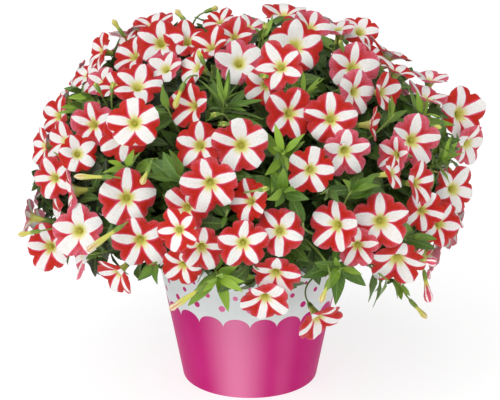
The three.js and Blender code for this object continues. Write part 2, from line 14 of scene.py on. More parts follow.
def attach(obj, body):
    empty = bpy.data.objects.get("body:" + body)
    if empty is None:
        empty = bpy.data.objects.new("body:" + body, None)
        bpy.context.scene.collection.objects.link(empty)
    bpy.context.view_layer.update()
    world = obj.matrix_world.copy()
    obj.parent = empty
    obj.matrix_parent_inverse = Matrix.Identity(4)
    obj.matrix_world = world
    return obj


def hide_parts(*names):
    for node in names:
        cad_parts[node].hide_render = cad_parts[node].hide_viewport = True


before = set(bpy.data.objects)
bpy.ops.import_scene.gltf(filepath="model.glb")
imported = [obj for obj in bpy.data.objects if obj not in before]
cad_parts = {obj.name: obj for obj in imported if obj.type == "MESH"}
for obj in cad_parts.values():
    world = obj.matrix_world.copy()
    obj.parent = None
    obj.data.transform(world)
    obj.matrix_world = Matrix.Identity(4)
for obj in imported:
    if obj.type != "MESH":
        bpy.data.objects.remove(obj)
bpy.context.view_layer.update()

MM = 0.001

# ---------------------------------------------------------------- sizes

# The mound on which the bloom centres lie
MOUND_Z = 0.210
MOUND_RADIUS = 0.222
MOUND_RISE = 0.168
MOUND_DROP = 0.140
MOUND_LOWEST = -0.46  # lowest bloom of the lattice, as a share of the drop

# Blooms
LOBES = 5
NOTCH_SHARE = 0.86
NOTCH_LIFT = 0.0012
THROAT_DEPTH = 0.006
TUBE_LENGTH = 0.027
LIMB_CLEARANCE = 0.003
TUBE_CLEARANCE = 0.004
SLIDE_START = -0.010
SLIDE_STEP = 0.003
SLIDE_STEPS = 14

# Stems
STEM_COUNT = 42
LEAFY_EVERY = 3
STEM_FOOT_CIRCLES = (0.012, 0.078)
STEM_REACH = 0.66
STEM_ARCH = 0.026
STEM_LEAN = 1.12
STEM_SHOULDER = 0.030
STEM_COLLAR = 0.004
SOIL_TOP = 0.135
HOLE_DEPTH = 0.012
REST_GAP = 0.00035

# The camera: an eye that looks at a point, with its focal length in pixels of a 500 x 400 image
EYE = np.array([0, -1.5, 0.68])
AIM = np.array([0, 0, 0.189])
FOCAL_PIXELS = 1549
IMAGE_WIDTH = 500
VIEW_CENTRE = (250, 200)
SENSOR_WIDTH = 36

# Blooms in view, from back to front: centre x and y and true diameter in the image's pixels, then
# the way each one faces, as degrees to the viewer's right and degrees up, and its clockwise roll.
# The letters mark pinker blooms (p), and those with wider (w) or narrower (r) white arms.
SEEN_BLOOMS = [
    (152, 20, 42, -15, 58, 0), (218, 19, 32, -30, 42, 20), (250, 24, 32, 20, 52, 40, "p"),
    (284, 9, 46, 0, 62, 0), (312, 24, 40, 15, 32, 20, "p"), (338, 26, 32, -10, 58, 10, "pw"),
    (361, 29, 38, 15, 30, 20, "w"), (376, 50, 34, 60, 40, 0), (398, 67, 38, 45, 60, 30),
    (431, 75, 38, 25, 65, 10, "pw"), (428, 92, 44, 40, 55, 20, "pw"), (472, 146, 44, 45, -25, 0, "pw"),
    (234, 35, 38, -5, 20, 10, "r"), (122, 40, 38, -60, 50, 0), (97, 50, 38, -60, 10, 20, "r"),
    (92, 74, 44, -70, 20, 0, "w"), (75, 72, 30, -80, 30, 0), (62, 95, 32, -70, 40, 30),
    (84, 72, 34, -50, 35, 0, "w"), (100, 80, 34, -35, 30, 0, "pw"), (27, 217, 36, -95, 10, 0, "p"),
    (67, 192, 46, -75, -5, 20, "p"), (113, 278, 44, -50, -38, 0), (112, 82, 38, -30, 40, 30),
    (164, 66, 38, -20, 30, 10, "pw"), (193, 66, 38, -50, 20, 0, "w"), (208, 43, 42, -25, 30, 10, "r"),
    (264, 86, 42, -15, -10, 20), (358, 92, 46, 40, -5, 10, "pw"), (388, 92, 40, 50, 0, 0, "r"),
    (122, 138, 48, -10, 0, 30, "w"), (60, 142, 40, -45, 0, 10, "w"), (40, 146, 38, -60, 0, 0),
    (185, 209, 46, -15, -10, 20), (358, 248, 42, 0, -20, 0, "p"), (424, 212, 42, 10, -10, 30),
    (422, 183, 42, 45, 0, 0, "r"), (376, 125, 36, 75, 0, 0, "r"), (392, 155, 38, -40, 0, 20, "p"),
    (396, 172, 34, 60, 10, 0), (181, 268, 42, -20, -30, 20), (275, 277, 50, -10, -35, 10),
    (130, 53, 44, -35, 25, 5, "r"), (137, 82, 50, 0, 35, 15, "w"), (54, 115, 42, -45, 10, 15),
    (91, 124, 48, -20, 5, -5, "p"), (134, 122, 52, 0, 5, -5, "w"), (160, 41, 50, -5, 15, 3),
    (187, 37, 48, 0, 40, -5, "w"), (239, 61, 50, 0, 20, -10, "pw"), (279, 65, 48, -15, 10, -25, "w"),
    (297, 44, 56, 10, 15, 0, "w"), (354, 66, 52, 10, 15, 12, "pw"), (188, 105, 46, -40, 5, 5, "r"),
    (292, 113, 54, 15, 0, 18, "r"), (331, 118, 54, 0, 5, 5), (415, 140, 52, 15, 0, 12, "p"),
    (465, 114, 55, 34, 0, -5, "w"), (198, 145, 50, -15, 5, 0), (241, 145, 56, 0, 0, -3, "w"),
    (346, 153, 50, 10, -20, 0, "pw"), (311, 171, 49, 5, -10, 12), (78, 153, 40, 10, 10, -15, "w"),
    (52, 178, 42, -20, 0, -20), (126, 198, 57, 0, 0, 3), (248, 200, 44, -25, 10, -20, "r"),
    (210, 186, 58, 0, -20, -12), (77, 231, 52, -10, 0, -3, "pw"), (47, 248, 48, -15, -5, -15),
    (140, 243, 57, 0, -20, -10), (178, 230, 42, -10, 0, -25), (202, 250, 48, 5, -25, 5),
    (280, 231, 50, 0, 0, 38), (243, 245, 52, 0, -15, 0), (333, 226, 54, -32, -5, 12),
    (381, 222, 57, 0, -5, -6), (457, 189, 46, 25, 0, 35, "w"), (443, 225, 46, 30, -5, 30),
    (398, 266, 56, 0, -45, 8), (265, 303, 48, 0, -40, 36), (322, 324, 50, 40, -45, 20),
]

# Leaf tufts in view: centre x and y in pixels, leaf length in mm, number of leaves, width of a
# leaf as a share of its length, and tone from 0 for dark old leaves to 1 for lime young ones.
SEEN_TUFTS = [
    (222, 98, 40, 22, 0.17, 0.55), (305, 92, 30, 14, 0.20, 0.85), (210, 65, 26, 9, 0.30, 0.45),
    (137, 27, 26, 8, 0.25, 0.75), (86, 93, 28, 8, 0.30, 0.75), (76, 102, 28, 8, 0.30, 0.60),
    (260, 30, 28, 9, 0.28, 0.75), (430, 112, 36, 10, 0.24, 0.72), (450, 160, 32, 14, 0.24, 0.85),
    (415, 242, 34, 9, 0.34, 0.45), (345, 275, 34, 10, 0.38, 0.52), (307, 228, 34, 8, 0.42, 0.45),
    (178, 180, 40, 8, 0.46, 0.50), (225, 215, 32, 9, 0.32, 0.55), (120, 165, 32, 9, 0.32, 0.75),
    (165, 105, 34, 9, 0.36, 0.45), (285, 150, 34, 13, 0.26, 0.80), (285, 190, 36, 9, 0.42, 0.50),
    (355, 195, 34, 8, 0.40, 0.45), (395, 115, 32, 9, 0.34, 0.50), (215, 285, 36, 12, 0.30, 0.80),
    (400, 292, 30, 9, 0.36, 0.72), (255, 275, 34, 9, 0.42, 0.45), (150, 270, 32, 4, 0.36, 0.40),
]

# Tufts that the solids leave out, behind gaps between the blooms in view, in the same measures
BACKING_TUFTS = [
    (446, 140, 32, 9, 0.36, 0.35), (396, 76, 28, 7, 0.40, 0.30), (437, 100, 30, 7, 0.38, 0.30),
    (330, 190, 30, 7, 0.40, 0.30), (50, 155, 30, 7, 0.38, 0.30), (78, 88, 28, 7, 0.38, 0.35),
    (108, 52, 28, 7, 0.38, 0.35), (388, 285, 32, 8, 0.38, 0.50),
]

# Buds in view: x and y of the foot in pixels, length in mm, the way it points as degrees
# anticlockwise from the viewer's right and degrees towards the viewer, and the kind.
SEEN_BUDS = [
    (124, 36, 20, 125, 10, "long"), (187, 24, 18, 128, 0, "long"), (112, 177, 34, 180, 10, "long"),
    (122, 226, 38, 214, 15, "spent"), (40, 231, 22, 190, 0, "long"), (150, 165, 20, 250, 20, "long"),
    (184, 83, 26, 246, 15, "long"), (219, 114, 8, 190, 30, "young"), (228, 124, 8, 180, 30, "young"),
    (268, 77, 8, 170, 30, "young"), (429, 126, 12, 352, 20, "young"), (417, 258, 19, 345, 25, "rolled"),
    (424, 271, 30, 279, 10, "rolled"), (410, 300, 24, 312, 10, "long"), (203, 286, 36, 218, 20, "spent"),
    (329, 280, 22, 252, 15, "long"), (204, 64, 14, 115, 20, "young"),
    (343, 50, 10, 110, 20, "young"), (100, 92, 10, 120, 20, "young"), (264, 32, 9, 80, 20, "young"),
    (205, 12, 14, 20, 0, "long"), (259, 190, 9, 10, 20, "young"), (112, 92, 10, 80, 20, "young"),
]

# Blooms out of view, set by a lattice over the rest of the mound
LATTICE_BLOOMS = 138
HIDDEN_BELOW = 0.36
BLOOM_SPACING = 0.037
LATTICE_BLOOM_RADII = (0.022, 0.026)
LATTICE_BLOOM_LIFT = 0.25
LATTICE_BLOOM_SWAY = 0.3

# Tufts out of view
LATTICE_TUFTS = 420
TUFT_DEPTH = 0.014
TUFT_TO_BLOOM = 0.025
TUFT_SPACING = 0.060
LATTICE_LEAF_LENGTH = 34

UP = np.array([0.0, 0.0, 1.0])
GOLDEN_ANGLE = np.pi * (3 - np.sqrt(5))
GOLDEN_STEP = (np.sqrt(5) - 1) / 2
SILVER_STEP = np.sqrt(2) - 1
BRONZE_STEP = (np.sqrt(13) - 3) / 2


def scatter(index, step):
    """An even scatter between 0 and 1: the fraction left by steps of an irrational size."""
    return ((index + 1) * step) % 1


def between(low, high, share):
    return low + (high - low) * share


def unit(vector):
    return vector / norm(vector)


def turned(vector, axis, angle):
    """A vector, turned about a unit axis."""
    across = np.cross(axis, vector)
    return vector * np.cos(angle) + across * np.sin(angle) + axis * (axis @ vector) * (1 - np.cos(angle))


def smooth_step(low, high, value):
    share = np.clip((value - low) / (high - low), 0, 1)
    return share * share * (3 - 2 * share)


def all_round(count):
    """Angles spread evenly over a full turn."""
    return np.arange(count) * 2 * np.pi / count


# ---------------------------------------------------------------- the mound and the view

MOUND_CENTRE = np.array([0, 0, MOUND_Z])


def mound_point(unit_height, azimuth):
    level = np.sqrt(1 - unit_height ** 2) * MOUND_RADIUS
    rise = MOUND_RISE if unit_height > 0 else MOUND_DROP
    return np.array([level * np.cos(azimuth), level * np.sin(azimuth), MOUND_Z + rise * unit_height])


def mound_normal(point):
    rise = MOUND_RISE if point[2] > MOUND_Z else MOUND_DROP
    return unit((point - MOUND_CENTRE) / np.array([MOUND_RADIUS, MOUND_RADIUS, rise]) ** 2)


def mound_lattice(number, lowest=MOUND_LOWEST):
    """Points spread evenly over the mound, from its top to its lowest level."""
    return [mound_point(between(1, lowest, (index + 0.5) / number), index * GOLDEN_ANGLE)
            for index in range(number)]


FORWARD = unit(AIM - EYE)
RIGHTWARD = np.array([1.0, 0.0, 0.0])
UPWARD = np.cross(RIGHTWARD, FORWARD)


def sight(x, y):
    """The direction from the eye through a point of the image."""
    right = (x - VIEW_CENTRE[0]) / FOCAL_PIXELS
    up = (VIEW_CENTRE[1] - y) / FOCAL_PIXELS
    return unit(FORWARD + RIGHTWARD * right + UPWARD * up)


def mound_in_sight(direction):
    """Where a line of sight first meets the mound, or where it passes closest to it."""
    def meet(rise):
        scale = np.array([MOUND_RADIUS, MOUND_RADIUS, rise])
        start = (EYE - MOUND_CENTRE) / scale
        way = direction / scale
        nearest = -(start @ way) / (way @ way)
        inside = nearest ** 2 - (start @ start - 1) / (way @ way)
        point = start + way * (nearest - np.sqrt(max(0, inside)))
        return point * scale + MOUND_CENTRE

    upper = meet(MOUND_RISE)
    return upper if upper[2] > MOUND_Z else meet(MOUND_DROP)


# ---------------------------------------------------------------- where the blooms stand

@dataclass
class Bloom:
    centre: np.ndarray
    facing: np.ndarray
    lobe: np.ndarray  # the direction of one lobe
    radius: float
    way_out: np.ndarray  # the way in which it slides to come clear of the others
    pinkness: float = 0.2
    arm_width: float = 1.0


def bloom_at(centre, facing, lobe, radius, way_out):
    front = unit(facing)
    return Bloom(centre, front, unit(lobe - front * (lobe @ front)), radius, way_out)


def seen_bloom(x, y, pixels, yaw, pitch, roll, traits=""):
    direction = sight(x, y)
    centre = mound_in_sight(direction)
    yaw, pitch, roll = np.radians([yaw, pitch, roll])
    facing = (RIGHTWARD * np.sin(yaw) * np.cos(pitch) + UPWARD * np.sin(pitch)
              - FORWARD * np.cos(yaw) * np.cos(pitch))
    lobe = turned(UPWARD, FORWARD, roll)
    radius = pixels * ((centre - EYE) @ FORWARD) / FOCAL_PIXELS / 2
    bloom = bloom_at(centre, facing, lobe, radius, -direction)
    bloom.pinkness = 0.7 if "p" in traits else 0.15
    bloom.arm_width += 0.3 * ("w" in traits) - 0.2 * ("r" in traits)
    return bloom


def lattice_bloom(centre, index):
    outward = mound_normal(centre)
    sideways = unit(np.array([-centre[1], centre[0], 0]))

    def swing(step):
        return between(-LATTICE_BLOOM_SWAY, LATTICE_BLOOM_SWAY, scatter(index, step))

    facing = outward + sideways * swing(GOLDEN_STEP) + UP * (LATTICE_BLOOM_LIFT + swing(SILVER_STEP))
    lobe = turned(sideways, outward, 2 * np.pi * scatter(index, BRONZE_STEP))
    radius = between(*LATTICE_BLOOM_RADII, scatter(index, BRONZE_STEP))
    bloom = bloom_at(centre, facing, lobe, radius, outward)
    bloom.pinkness = scatter(index, SILVER_STEP) ** 2
    return bloom


def outline_segments(bloom):
    """The starts and ends of the straight lines that stand for a bloom's tube and its margin."""
    corners = []
    for index in range(2 * LOBES):
        share, lift = (NOTCH_SHARE, NOTCH_LIFT) if index % 2 else (1, 0)
        way = turned(bloom.lobe, bloom.facing, -index * np.pi / LOBES)
        corners.append(bloom.centre + way * bloom.radius * share + bloom.facing * lift)
    tube = [bloom.centre - bloom.facing * THROAT_DEPTH, bloom.centre - bloom.facing * TUBE_LENGTH]
    return np.array([tube[0], *corners]), np.array([tube[1], *corners[1:], corners[0]])


SEGMENT_MARGINS = np.array([TUBE_CLEARANCE] + [0] * 2 * LOBES)


def crosses_limb(segments, bloom):
    """Whether any of the lines passes through a bloom's limb, or ends within the clearance of it."""
    starts, ends = segments
    first = (starts - bloom.centre) @ bloom.facing
    last = (ends - bloom.centre) @ bloom.facing
    parted = first * last > 0
    away = parted & (np.minimum(abs(first), abs(last)) > LIMB_CLEARANCE)
    nearer_end = np.where(abs(first) < abs(last), 0, 1)
    share = np.where(parted, nearer_end, first / np.where(parted, 1, first - last))
    meeting = starts + (ends - starts) * share[:, None]
    distance = norm(meeting - bloom.centre, axis=1)
    return bool(np.any(~away & (distance < bloom.radius + SEGMENT_MARGINS)))


def slide_clear(bloom, earlier):
    """Slides a bloom out until it crosses none of those before it, or to where it crosses fewest."""
    reach = 2 * bloom.radius + TUBE_LENGTH
    fewest, best = None, None
    for step in range(SLIDE_STEPS):
        centre = bloom.centre + bloom.way_out * (SLIDE_START + step * SLIDE_STEP)
        slid = replace(bloom, centre=centre)
        segments = outline_segments(slid)
        near = [other for other in earlier if norm(centre - other.centre) < reach]
        crossings = sum(crosses_limb(segments, other) or crosses_limb(outline_segments(other), slid)
                        for other in near)
        if fewest is None or crossings < fewest:
            fewest, best = crossings, slid
        if fewest == 0:
            break
    return best


def lay_out_blooms():
    seen = [seen_bloom(*row) for row in SEEN_BLOOMS]
    blooms = []
    for bloom in seen:
        blooms.append(slide_clear(bloom, blooms))
    for index, point in enumerate(mound_lattice(LATTICE_BLOOMS)):
        hidden = mound_normal(point) @ unit(EYE - point) < HIDDEN_BELOW
        roomy = all(norm(bloom.centre - point) > BLOOM_SPACING for bloom in seen)
        if hidden and roomy:
            blooms.append(slide_clear(lattice_bloom(point, index), blooms))
    return blooms


# ---------------------------------------------------------------- where tufts and stems stand

@dataclass
class Tuft:
    point: np.ndarray
    leaf_length: float
    leaves: int = 8
    width_share: float = 0.38
    tone: float = 0.45


def tuft_at(surface, leaf_length, *traits):
    return Tuft(surface - mound_normal(surface) * TUFT_DEPTH, leaf_length * MM, *traits)


def seen_tufts(rows):
    return [tuft_at(mound_in_sight(sight(x, y)), *traits) for x, y, *traits in rows]


def lay_out_tufts(blooms):
    tufts = seen_tufts(SEEN_TUFTS)
    for surface in mound_lattice(LATTICE_TUFTS):
        tuft = tuft_at(surface, LATTICE_LEAF_LENGTH)
        off_blooms = all(norm(b.centre - surface) > TUFT_TO_BLOOM for b in blooms)
        off_tufts = all(norm(t.point - tuft.point) > TUFT_SPACING for t in tufts)
        if off_blooms and off_tufts:
            tufts.append(tuft)
    return tufts


def bezier(start, middle, end, steps):
    share = np.linspace(0, 1, steps + 1)[:, None]
    return start * (1 - share) ** 2 + middle * 2 * share * (1 - share) + end * share ** 2


@dataclass
class Stem:
    tip: np.ndarray
    path: np.ndarray  # from the foot in the soil to the fork
    node: str

    def branch(self, end, way, bend, steps):
        """A path from the fork that arrives at its end along a way, bent by a share of its span."""
        fork = self.path[-1]
        return bezier(fork, end - way * norm(end - fork) * bend, end, steps)


def stem_path(tip, share, steps=14):
    azimuth = np.arctan2(tip[1], tip[0])
    innermost, outermost = STEM_FOOT_CIRCLES
    circle = np.sqrt(between(innermost ** 2, outermost ** 2, share))
    x, y = circle * np.cos(azimuth), circle * np.sin(azimuth)
    foot = np.array([x, y, SOIL_TOP - HOLE_DEPTH + REST_GAP])
    collar = np.array([x, y, SOIL_TOP + STEM_COLLAR])
    fork = foot + (tip - foot) * STEM_REACH + UP * STEM_ARCH * share
    shoulder_z = between(SOIL_TOP, fork[2], 0.5) + STEM_SHOULDER * share
    shoulder = np.array([x * STEM_LEAN, y * STEM_LEAN, shoulder_z])
    return np.array([foot, *bezier(collar, shoulder, fork, steps)])


def lay_out_stems():
    flowering, leafy = [], []
    for index, tip in enumerate(mound_lattice(STEM_COUNT)):
        path = stem_path(tip, (index + 0.5) / STEM_COUNT)
        kind, name = ((leafy, "leafy_shoot") if index % LEAFY_EVERY == 1
                      else (flowering, "flower_spray"))
        kind.append(Stem(tip, path, f"{name}_{len(kind) + 1:02d}"))
    return flowering, leafy


def nearest(stems, point):
    return min(stems, key=lambda stem: norm(stem.tip - point))


# ---------------------------------------------------------------- meshes

class Sheaf:
    """Closed skins gathered into one mesh, with two vectors on each point for the materials."""

    def __init__(self):
        self.points, self.values = [], []
        self.corners, self.sides, self.materials = [], [], []
        self.total = 0

    def skin(self, rings, first_pole, last_pole, values, column=0, material=0):
        """Adds a chain of rings, closed by a point at each end. The rings are an array of
        ring x point x 3, and the values one of ring x point x 6. The end points take theirs
        from a column of the nearest ring."""
        count, across = rings.shape[:2]
        corner = np.arange(count * across).reshape(count, across) + self.total
        beside = np.roll(corner, -1, axis=1)
        first = self.total + count * across
        quads = np.stack([corner[:-1], beside[:-1], beside[1:], corner[1:]], -1)
        starts = np.stack([beside[0], corner[0], np.full(across, first)], -1)
        ends = np.stack([corner[-1], beside[-1], np.full(across, first + 1)], -1)
        self.points += [rings.reshape(-1, 3), np.array([first_pole, last_pole])]
        self.values += [values.reshape(-1, 6), values[[0, -1], column]]
        self.corners += [quads.ravel(), starts.ravel(), ends.ravel()]
        self.sides += [np.full(across * (count - 1), 4), np.full(across * 2, 3)]
        self.materials.append(np.full(across * (count + 1), material))
        self.total = first + 2

    def piece(self, name, materials, sharp_angle=55):
        mesh = bpy.data.meshes.new(name)
        points, values, corners, sides, made_of = (np.concatenate(parts) for parts in (
            self.points, self.values, self.corners, self.sides, self.materials))
        mesh.vertices.add(len(points))
        mesh.vertices.foreach_set("co", points.ravel().astype(np.float32))
        mesh.loops.add(len(corners))
        mesh.loops.foreach_set("vertex_index", corners.astype(np.int32))
        mesh.polygons.add(len(sides))
        mesh.polygons.foreach_set("loop_start", (np.cumsum(sides) - sides).astype(np.int32))
        for material in materials:
            mesh.materials.append(material)
        mesh.polygons.foreach_set("material_index", made_of.astype(np.int32))
        for attribute, columns in (("place", slice(0, 3)), ("make", slice(3, 6))):
            layer = mesh.attributes.new(attribute, "FLOAT_VECTOR", "POINT")
            layer.data.foreach_set("vector", values[:, columns].ravel().astype(np.float32))
        mesh.update(calc_edges=True)
        mesh.validate()
        mesh.shade_smooth()
        mesh.set_sharp_from_angle(angle=np.radians(sharp_angle))
        return add_object(name, mesh)


def add_object(name, data):
    thing = bpy.data.objects.new(name, data)
    bpy.context.scene.collection.objects.link(thing)
    return thing


def rings_along(path, radii, count):
    """The way of a path at each of its points, and a ring of points about each, turned as little
    as possible from one to the next. The radii have a row for each ring."""
    ways = np.gradient(path, axis=0)
    ways /= norm(ways, axis=1)[:, None]
    start = UP if abs(ways[0] @ UP) < 0.9 else RIGHTWARD
    across = []
    for way in ways:
        start = unit(start - way * (way @ start))
        across.append(start)
    across = np.array(across)
    beside = np.cross(ways, across)
    angles = all_round(count)
    return ways, (path[:, None] + across[:, None] * (np.cos(angles) * radii)[..., None]
                  + beside[:, None] * (np.sin(angles) * radii)[..., None])


def values_of(x, y, tone, star=0.0, back=0.0, stamen=0.0):
    """What the materials take: a place on the limb, the leaf or the stalk, the tone, the distance
    inside a white arm, 1 on the back of a limb or leaf, and 1 on the stamens."""
    return np.stack(np.broadcast_arrays(x, y, tone, star, back, stamen), -1)


STALK_SLOT = 1  # the place of the stalks' material on the green pieces


def rod(sheaf, path, radii, tone, sides=6, tip=0.0015):
    """A round stalk along a path, from one radius in mm to the next. Its tone goes from 0 for old
    and dark to 1 for young and lime."""
    along = np.linspace(0, 1, len(path))
    radii = np.interp(along, np.linspace(0, 1, len(radii)), radii) * MM
    ways, rings = rings_along(path, radii[:, None], sides)
    ends = path[0] - ways[0] * tip * 0.3, path[-1] + ways[-1] * tip
    sheaf.skin(rings, *ends, values_of(np.zeros(sides), along[:, None], tone), material=STALK_SLOT)


# ---------------------------------------------------------------- blooms

BLOOM_COLUMNS = 50
LOBE_SPAN = 2 * np.pi / LOBES
LIMB_STEPS = np.array([1, 0.975, 0.92, 0.84, 0.75, 0.66, 0.57, 0.48, 0.39, 0.31, 0.24, 0.19])
THROAT_SHARE = LIMB_STEPS[-1]  # radius of the throat, as a share of the limb's
THROAT_STEPS = np.array([0.15, 0.10, 0.05])  # shares of the rings inside the throat
THROAT_DEPTHS = np.array([0.07, 0.17, 0.24])  # of these rings below the throat, as shares
TUBE_STEPS = np.array([0.085, 0.10, 0.135, 0.19, 0.235])  # shares of the rings along the tube
PETAL_THICKNESS = 0.0005
NOTCH_CUT = 0.19
ARM_WIDTH = 0.18  # half of it, as a share of the limb's radius
FUNNEL_DEPTH = 0.34  # of the limb at the throat, as a share of its radius
STAMEN_STEPS = np.array([0, 0.5, 0.8, 0.9, 1.0])
STAMEN_RADII = np.array([0.25, 0.25, 0.3, 0.6, 0.5]) * MM  # thicker at the anther
STAMEN_SPREAD = 0.0012


class BloomForm:
    """The form of one bloom, drawn at random. A share is a ring's distance from the middle, as a
    share of the limb's radius."""

    def __init__(self, bloom, draw):
        self.bloom = bloom
        self.draw = draw
        self.beside = np.cross(bloom.facing, bloom.lobe)
        self.angles = all_round(BLOOM_COLUMNS)
        self.lobe_number = np.round(self.angles / LOBE_SPAN).astype(int) % LOBES
        self.offset = (self.angles + LOBE_SPAN / 2) % LOBE_SPAN - LOBE_SPAN / 2
        self.notch = abs(self.offset) / (LOBE_SPAN / 2)
        self.placing = self.angles + self.ripple((1, 0.05), (2, 0.05), (3, 0.03))
        self.draw_margin()
        self.draw_lift()
        self.draw_arms()
        self.tone = np.clip(bloom.pinkness + draw.uniform(-0.15, 0.15), 0, 1)

    def ripple(self, *waves):
        """Waves round the limb, each with its turns and its size, from random starts."""
        return sum(size * np.sin(turns * self.angles + self.draw.uniform(0, 2 * np.pi))
                   for turns, size in waves)

    def by_lobe(self, size):
        """A random value for each lobe, given at every point of it."""
        return (size * self.draw.standard_normal(LOBES))[self.lobe_number]

    def draw_margin(self):
        """Rounded shoulders, sharp notches and a small point at each lobe's middle."""
        cut = NOTCH_CUT * self.draw.uniform(0.65, 1.3)
        self.margin = 1 - cut * self.notch ** 5 + 0.03 * np.exp(-(self.notch / 0.16) ** 2)
        self.margin += self.by_lobe(0.04) * (1 - self.notch ** 2)
        self.margin += self.ripple((2, 0.02), (9, 0.010), (13, 0.006))

    def draw_lift(self):
        """Waves and ruffles, a margin that bends back, and a funnel."""
        self.waves = self.ripple((1, 0.05), (2, 0.06), (3, 0.05))
        self.ruffles = self.ripple((7, 0.022), (11, 0.016), (16, 0.010))
        self.reflex = self.draw.uniform(0.02, 0.16)
        self.funnel = FUNNEL_DEPTH * self.draw.uniform(0.8, 1.25)

    def draw_arms(self):
        """White arms that close before the margin or reach it, as more of the lower ones do."""
        lobe_angles = all_round(LOBES)
        downward = np.sin(lobe_angles) * self.beside[2] - np.cos(lobe_angles) * self.bloom.lobe[2]
        arm_width = ARM_WIDTH * self.bloom.arm_width * self.draw.uniform(0.88, 1.12)
        self.arm_width = arm_width * (1 + self.by_lobe(0.12))
        self.arm_bend = self.by_lobe(0.05)
        open_end = self.draw.uniform(-0.35, 0.8) + 0.35 * downward[self.lobe_number]
        self.open_end = np.clip(open_end + self.by_lobe(0.3), 0, 1)

    def lift(self, share):
        """The height of the limb towards the front."""
        out = np.clip((share - THROAT_SHARE) / (1 - THROAT_SHARE), 0, 1)
        lift = -self.funnel * (1 - out) ** 2 - self.reflex * out ** 3
        lift = lift + self.waves * out ** 2 + self.ruffles * out ** 4
        return lift + 0.045 * np.cos(LOBES * self.angles) * out ** 1.5 - 0.04 * self.notch ** 8 * out

    def points(self, reach, lift):
        flat = (self.bloom.lobe * (reach * np.cos(self.placing))[..., None]
                - self.beside * (reach * np.sin(self.placing))[..., None])
        return self.bloom.centre + (flat + self.bloom.facing * lift[..., None]) * self.bloom.radius

    def limb(self, share, drop=0.0, widen=1.0):
        share = share[:, None]
        reach = share * (1 + (self.margin - 1) * share ** 2) * widen
        return self.points(reach, self.lift(share) - drop)

    def tube(self, share, depth):
        return self.points(share[:, None], -depth[:, None])

    def arm_inside(self, share):
        """The distance inside the edge of a white arm."""
        rise = 0.5 + 0.5 * smooth_step(0.12, 0.5, share)
        fall = np.clip(1 - ((share - 0.5) / 0.53) ** 2, 0, 1) ** 0.8
        fall = np.where(share < 0.5, 1, fall)
        full = 1 + 0.35 * np.clip(share - 0.5, 0, 1)
        width = self.arm_width * rise * (fall * (1 - self.open_end) + full * self.open_end)
        return width - share * abs(np.sin(self.offset + self.arm_bend * share ** 2))

    def values(self, share, back):
        share = share[:, None]
        x, y = share * np.cos(self.angles), -share * np.sin(self.angles)
        return values_of(x, y, self.tone, self.arm_inside(share), back)


def bloom_skin(sheaf, bloom, seed):
    """The back of a bloom from the foot of its tube to the margin, its front from there into the
    throat, and the stamens."""
    form = BloomForm(bloom, np.random.default_rng(seed))
    tube_end = TUBE_LENGTH / bloom.radius
    tube_depths = np.array([tube_end, tube_end * 0.85, between(form.funnel, tube_end, 0.5),
                            between(form.funnel, tube_end, 0.22), form.funnel + 0.10])
    throat_depths = form.funnel + THROAT_DEPTHS
    back_steps = LIMB_STEPS[:0:-1]
    thickness = PETAL_THICKNESS / bloom.radius * (1 + 3 * (1 - back_steps[:, None]) ** 2)
    widen = 1 + 0.6 * np.clip((0.34 - back_steps[:, None]) / 0.34, 0, 1)
    rings = np.concatenate([form.tube(TUBE_STEPS, tube_depths), form.limb(back_steps, thickness, widen),
                            form.limb(LIMB_STEPS), form.tube(THROAT_STEPS, throat_depths)])
    values = np.concatenate([form.values(TUBE_STEPS, 1.0), form.values(back_steps, 1.0),
                             form.values(LIMB_STEPS, 0.0), form.values(THROAT_STEPS, 0.0)])
    foot = bloom.centre - bloom.facing * (TUBE_LENGTH + 0.001)
    depth = bloom.centre - bloom.facing * bloom.radius * (throat_depths[-1] + 0.1)
    sheaf.skin(rings[:, ::-1], foot, depth, values[:, ::-1], column=-1)
    grow_stamens(sheaf, form)


def grow_stamens(sheaf, form):
    """Five stamens and a pistil, from the depth of the throat to its mouth."""
    bloom, draw = form.bloom, form.draw
    root = bloom.centre - bloom.facing * bloom.radius * (form.funnel + 0.22)
    for number in range(LOBES + 1):
        is_pistil = number == LOBES
        angle = number * LOBE_SPAN + draw.uniform(-0.3, 0.3)
        aside = 0.0 if is_pistil else STAMEN_SPREAD
        height = draw.uniform(-0.06, 0.0) + (0.05 if is_pistil else 0)
        way = bloom.lobe * np.cos(angle) + form.beside * np.sin(angle)
        end = bloom.centre - bloom.facing * bloom.radius * (form.funnel - height) + way * aside
        path = root + (end - root) * STAMEN_STEPS[:, None]
        ways, rings = rings_along(path, STAMEN_RADII[:, None], 4)
        values = values_of(np.full(rings.shape[:2], 0.14), 0.0, form.tone, star=1.0, stamen=1.0)
        sheaf.skin(rings, root, end + ways[-1] * 0.0006, values)


# Buds: shares of the length, and the radius there in mm
BUD_FORMS = {
    "long": ((0.0, 1.2), (0.25, 1.4), (0.5, 1.7), (0.68, 2.3), (0.8, 2.8), (0.9, 2.4), (0.97, 1.2)),
    "rolled": ((0.0, 1.2), (0.2, 1.5), (0.4, 2.0), (0.6, 3.0), (0.78, 4.2), (0.92, 4.0), (0.99, 2.4)),
    "spent": ((0.0, 1.2), (0.3, 1.7), (0.55, 2.6), (0.7, 2.9), (0.84, 2.3), (0.93, 3.0), (0.99, 2.2)),
    "young": ((0.0, 1.1), (0.3, 1.8), (0.55, 2.3), (0.75, 2.2), (0.9, 1.6), (0.97, 0.8)),
}
BUD_TIP_PLACES = {"long": 0.3, "rolled": 1.0, "spent": 0.35, "young": 0.1}  # on a bloom's limb
BUD_COLUMNS = 20


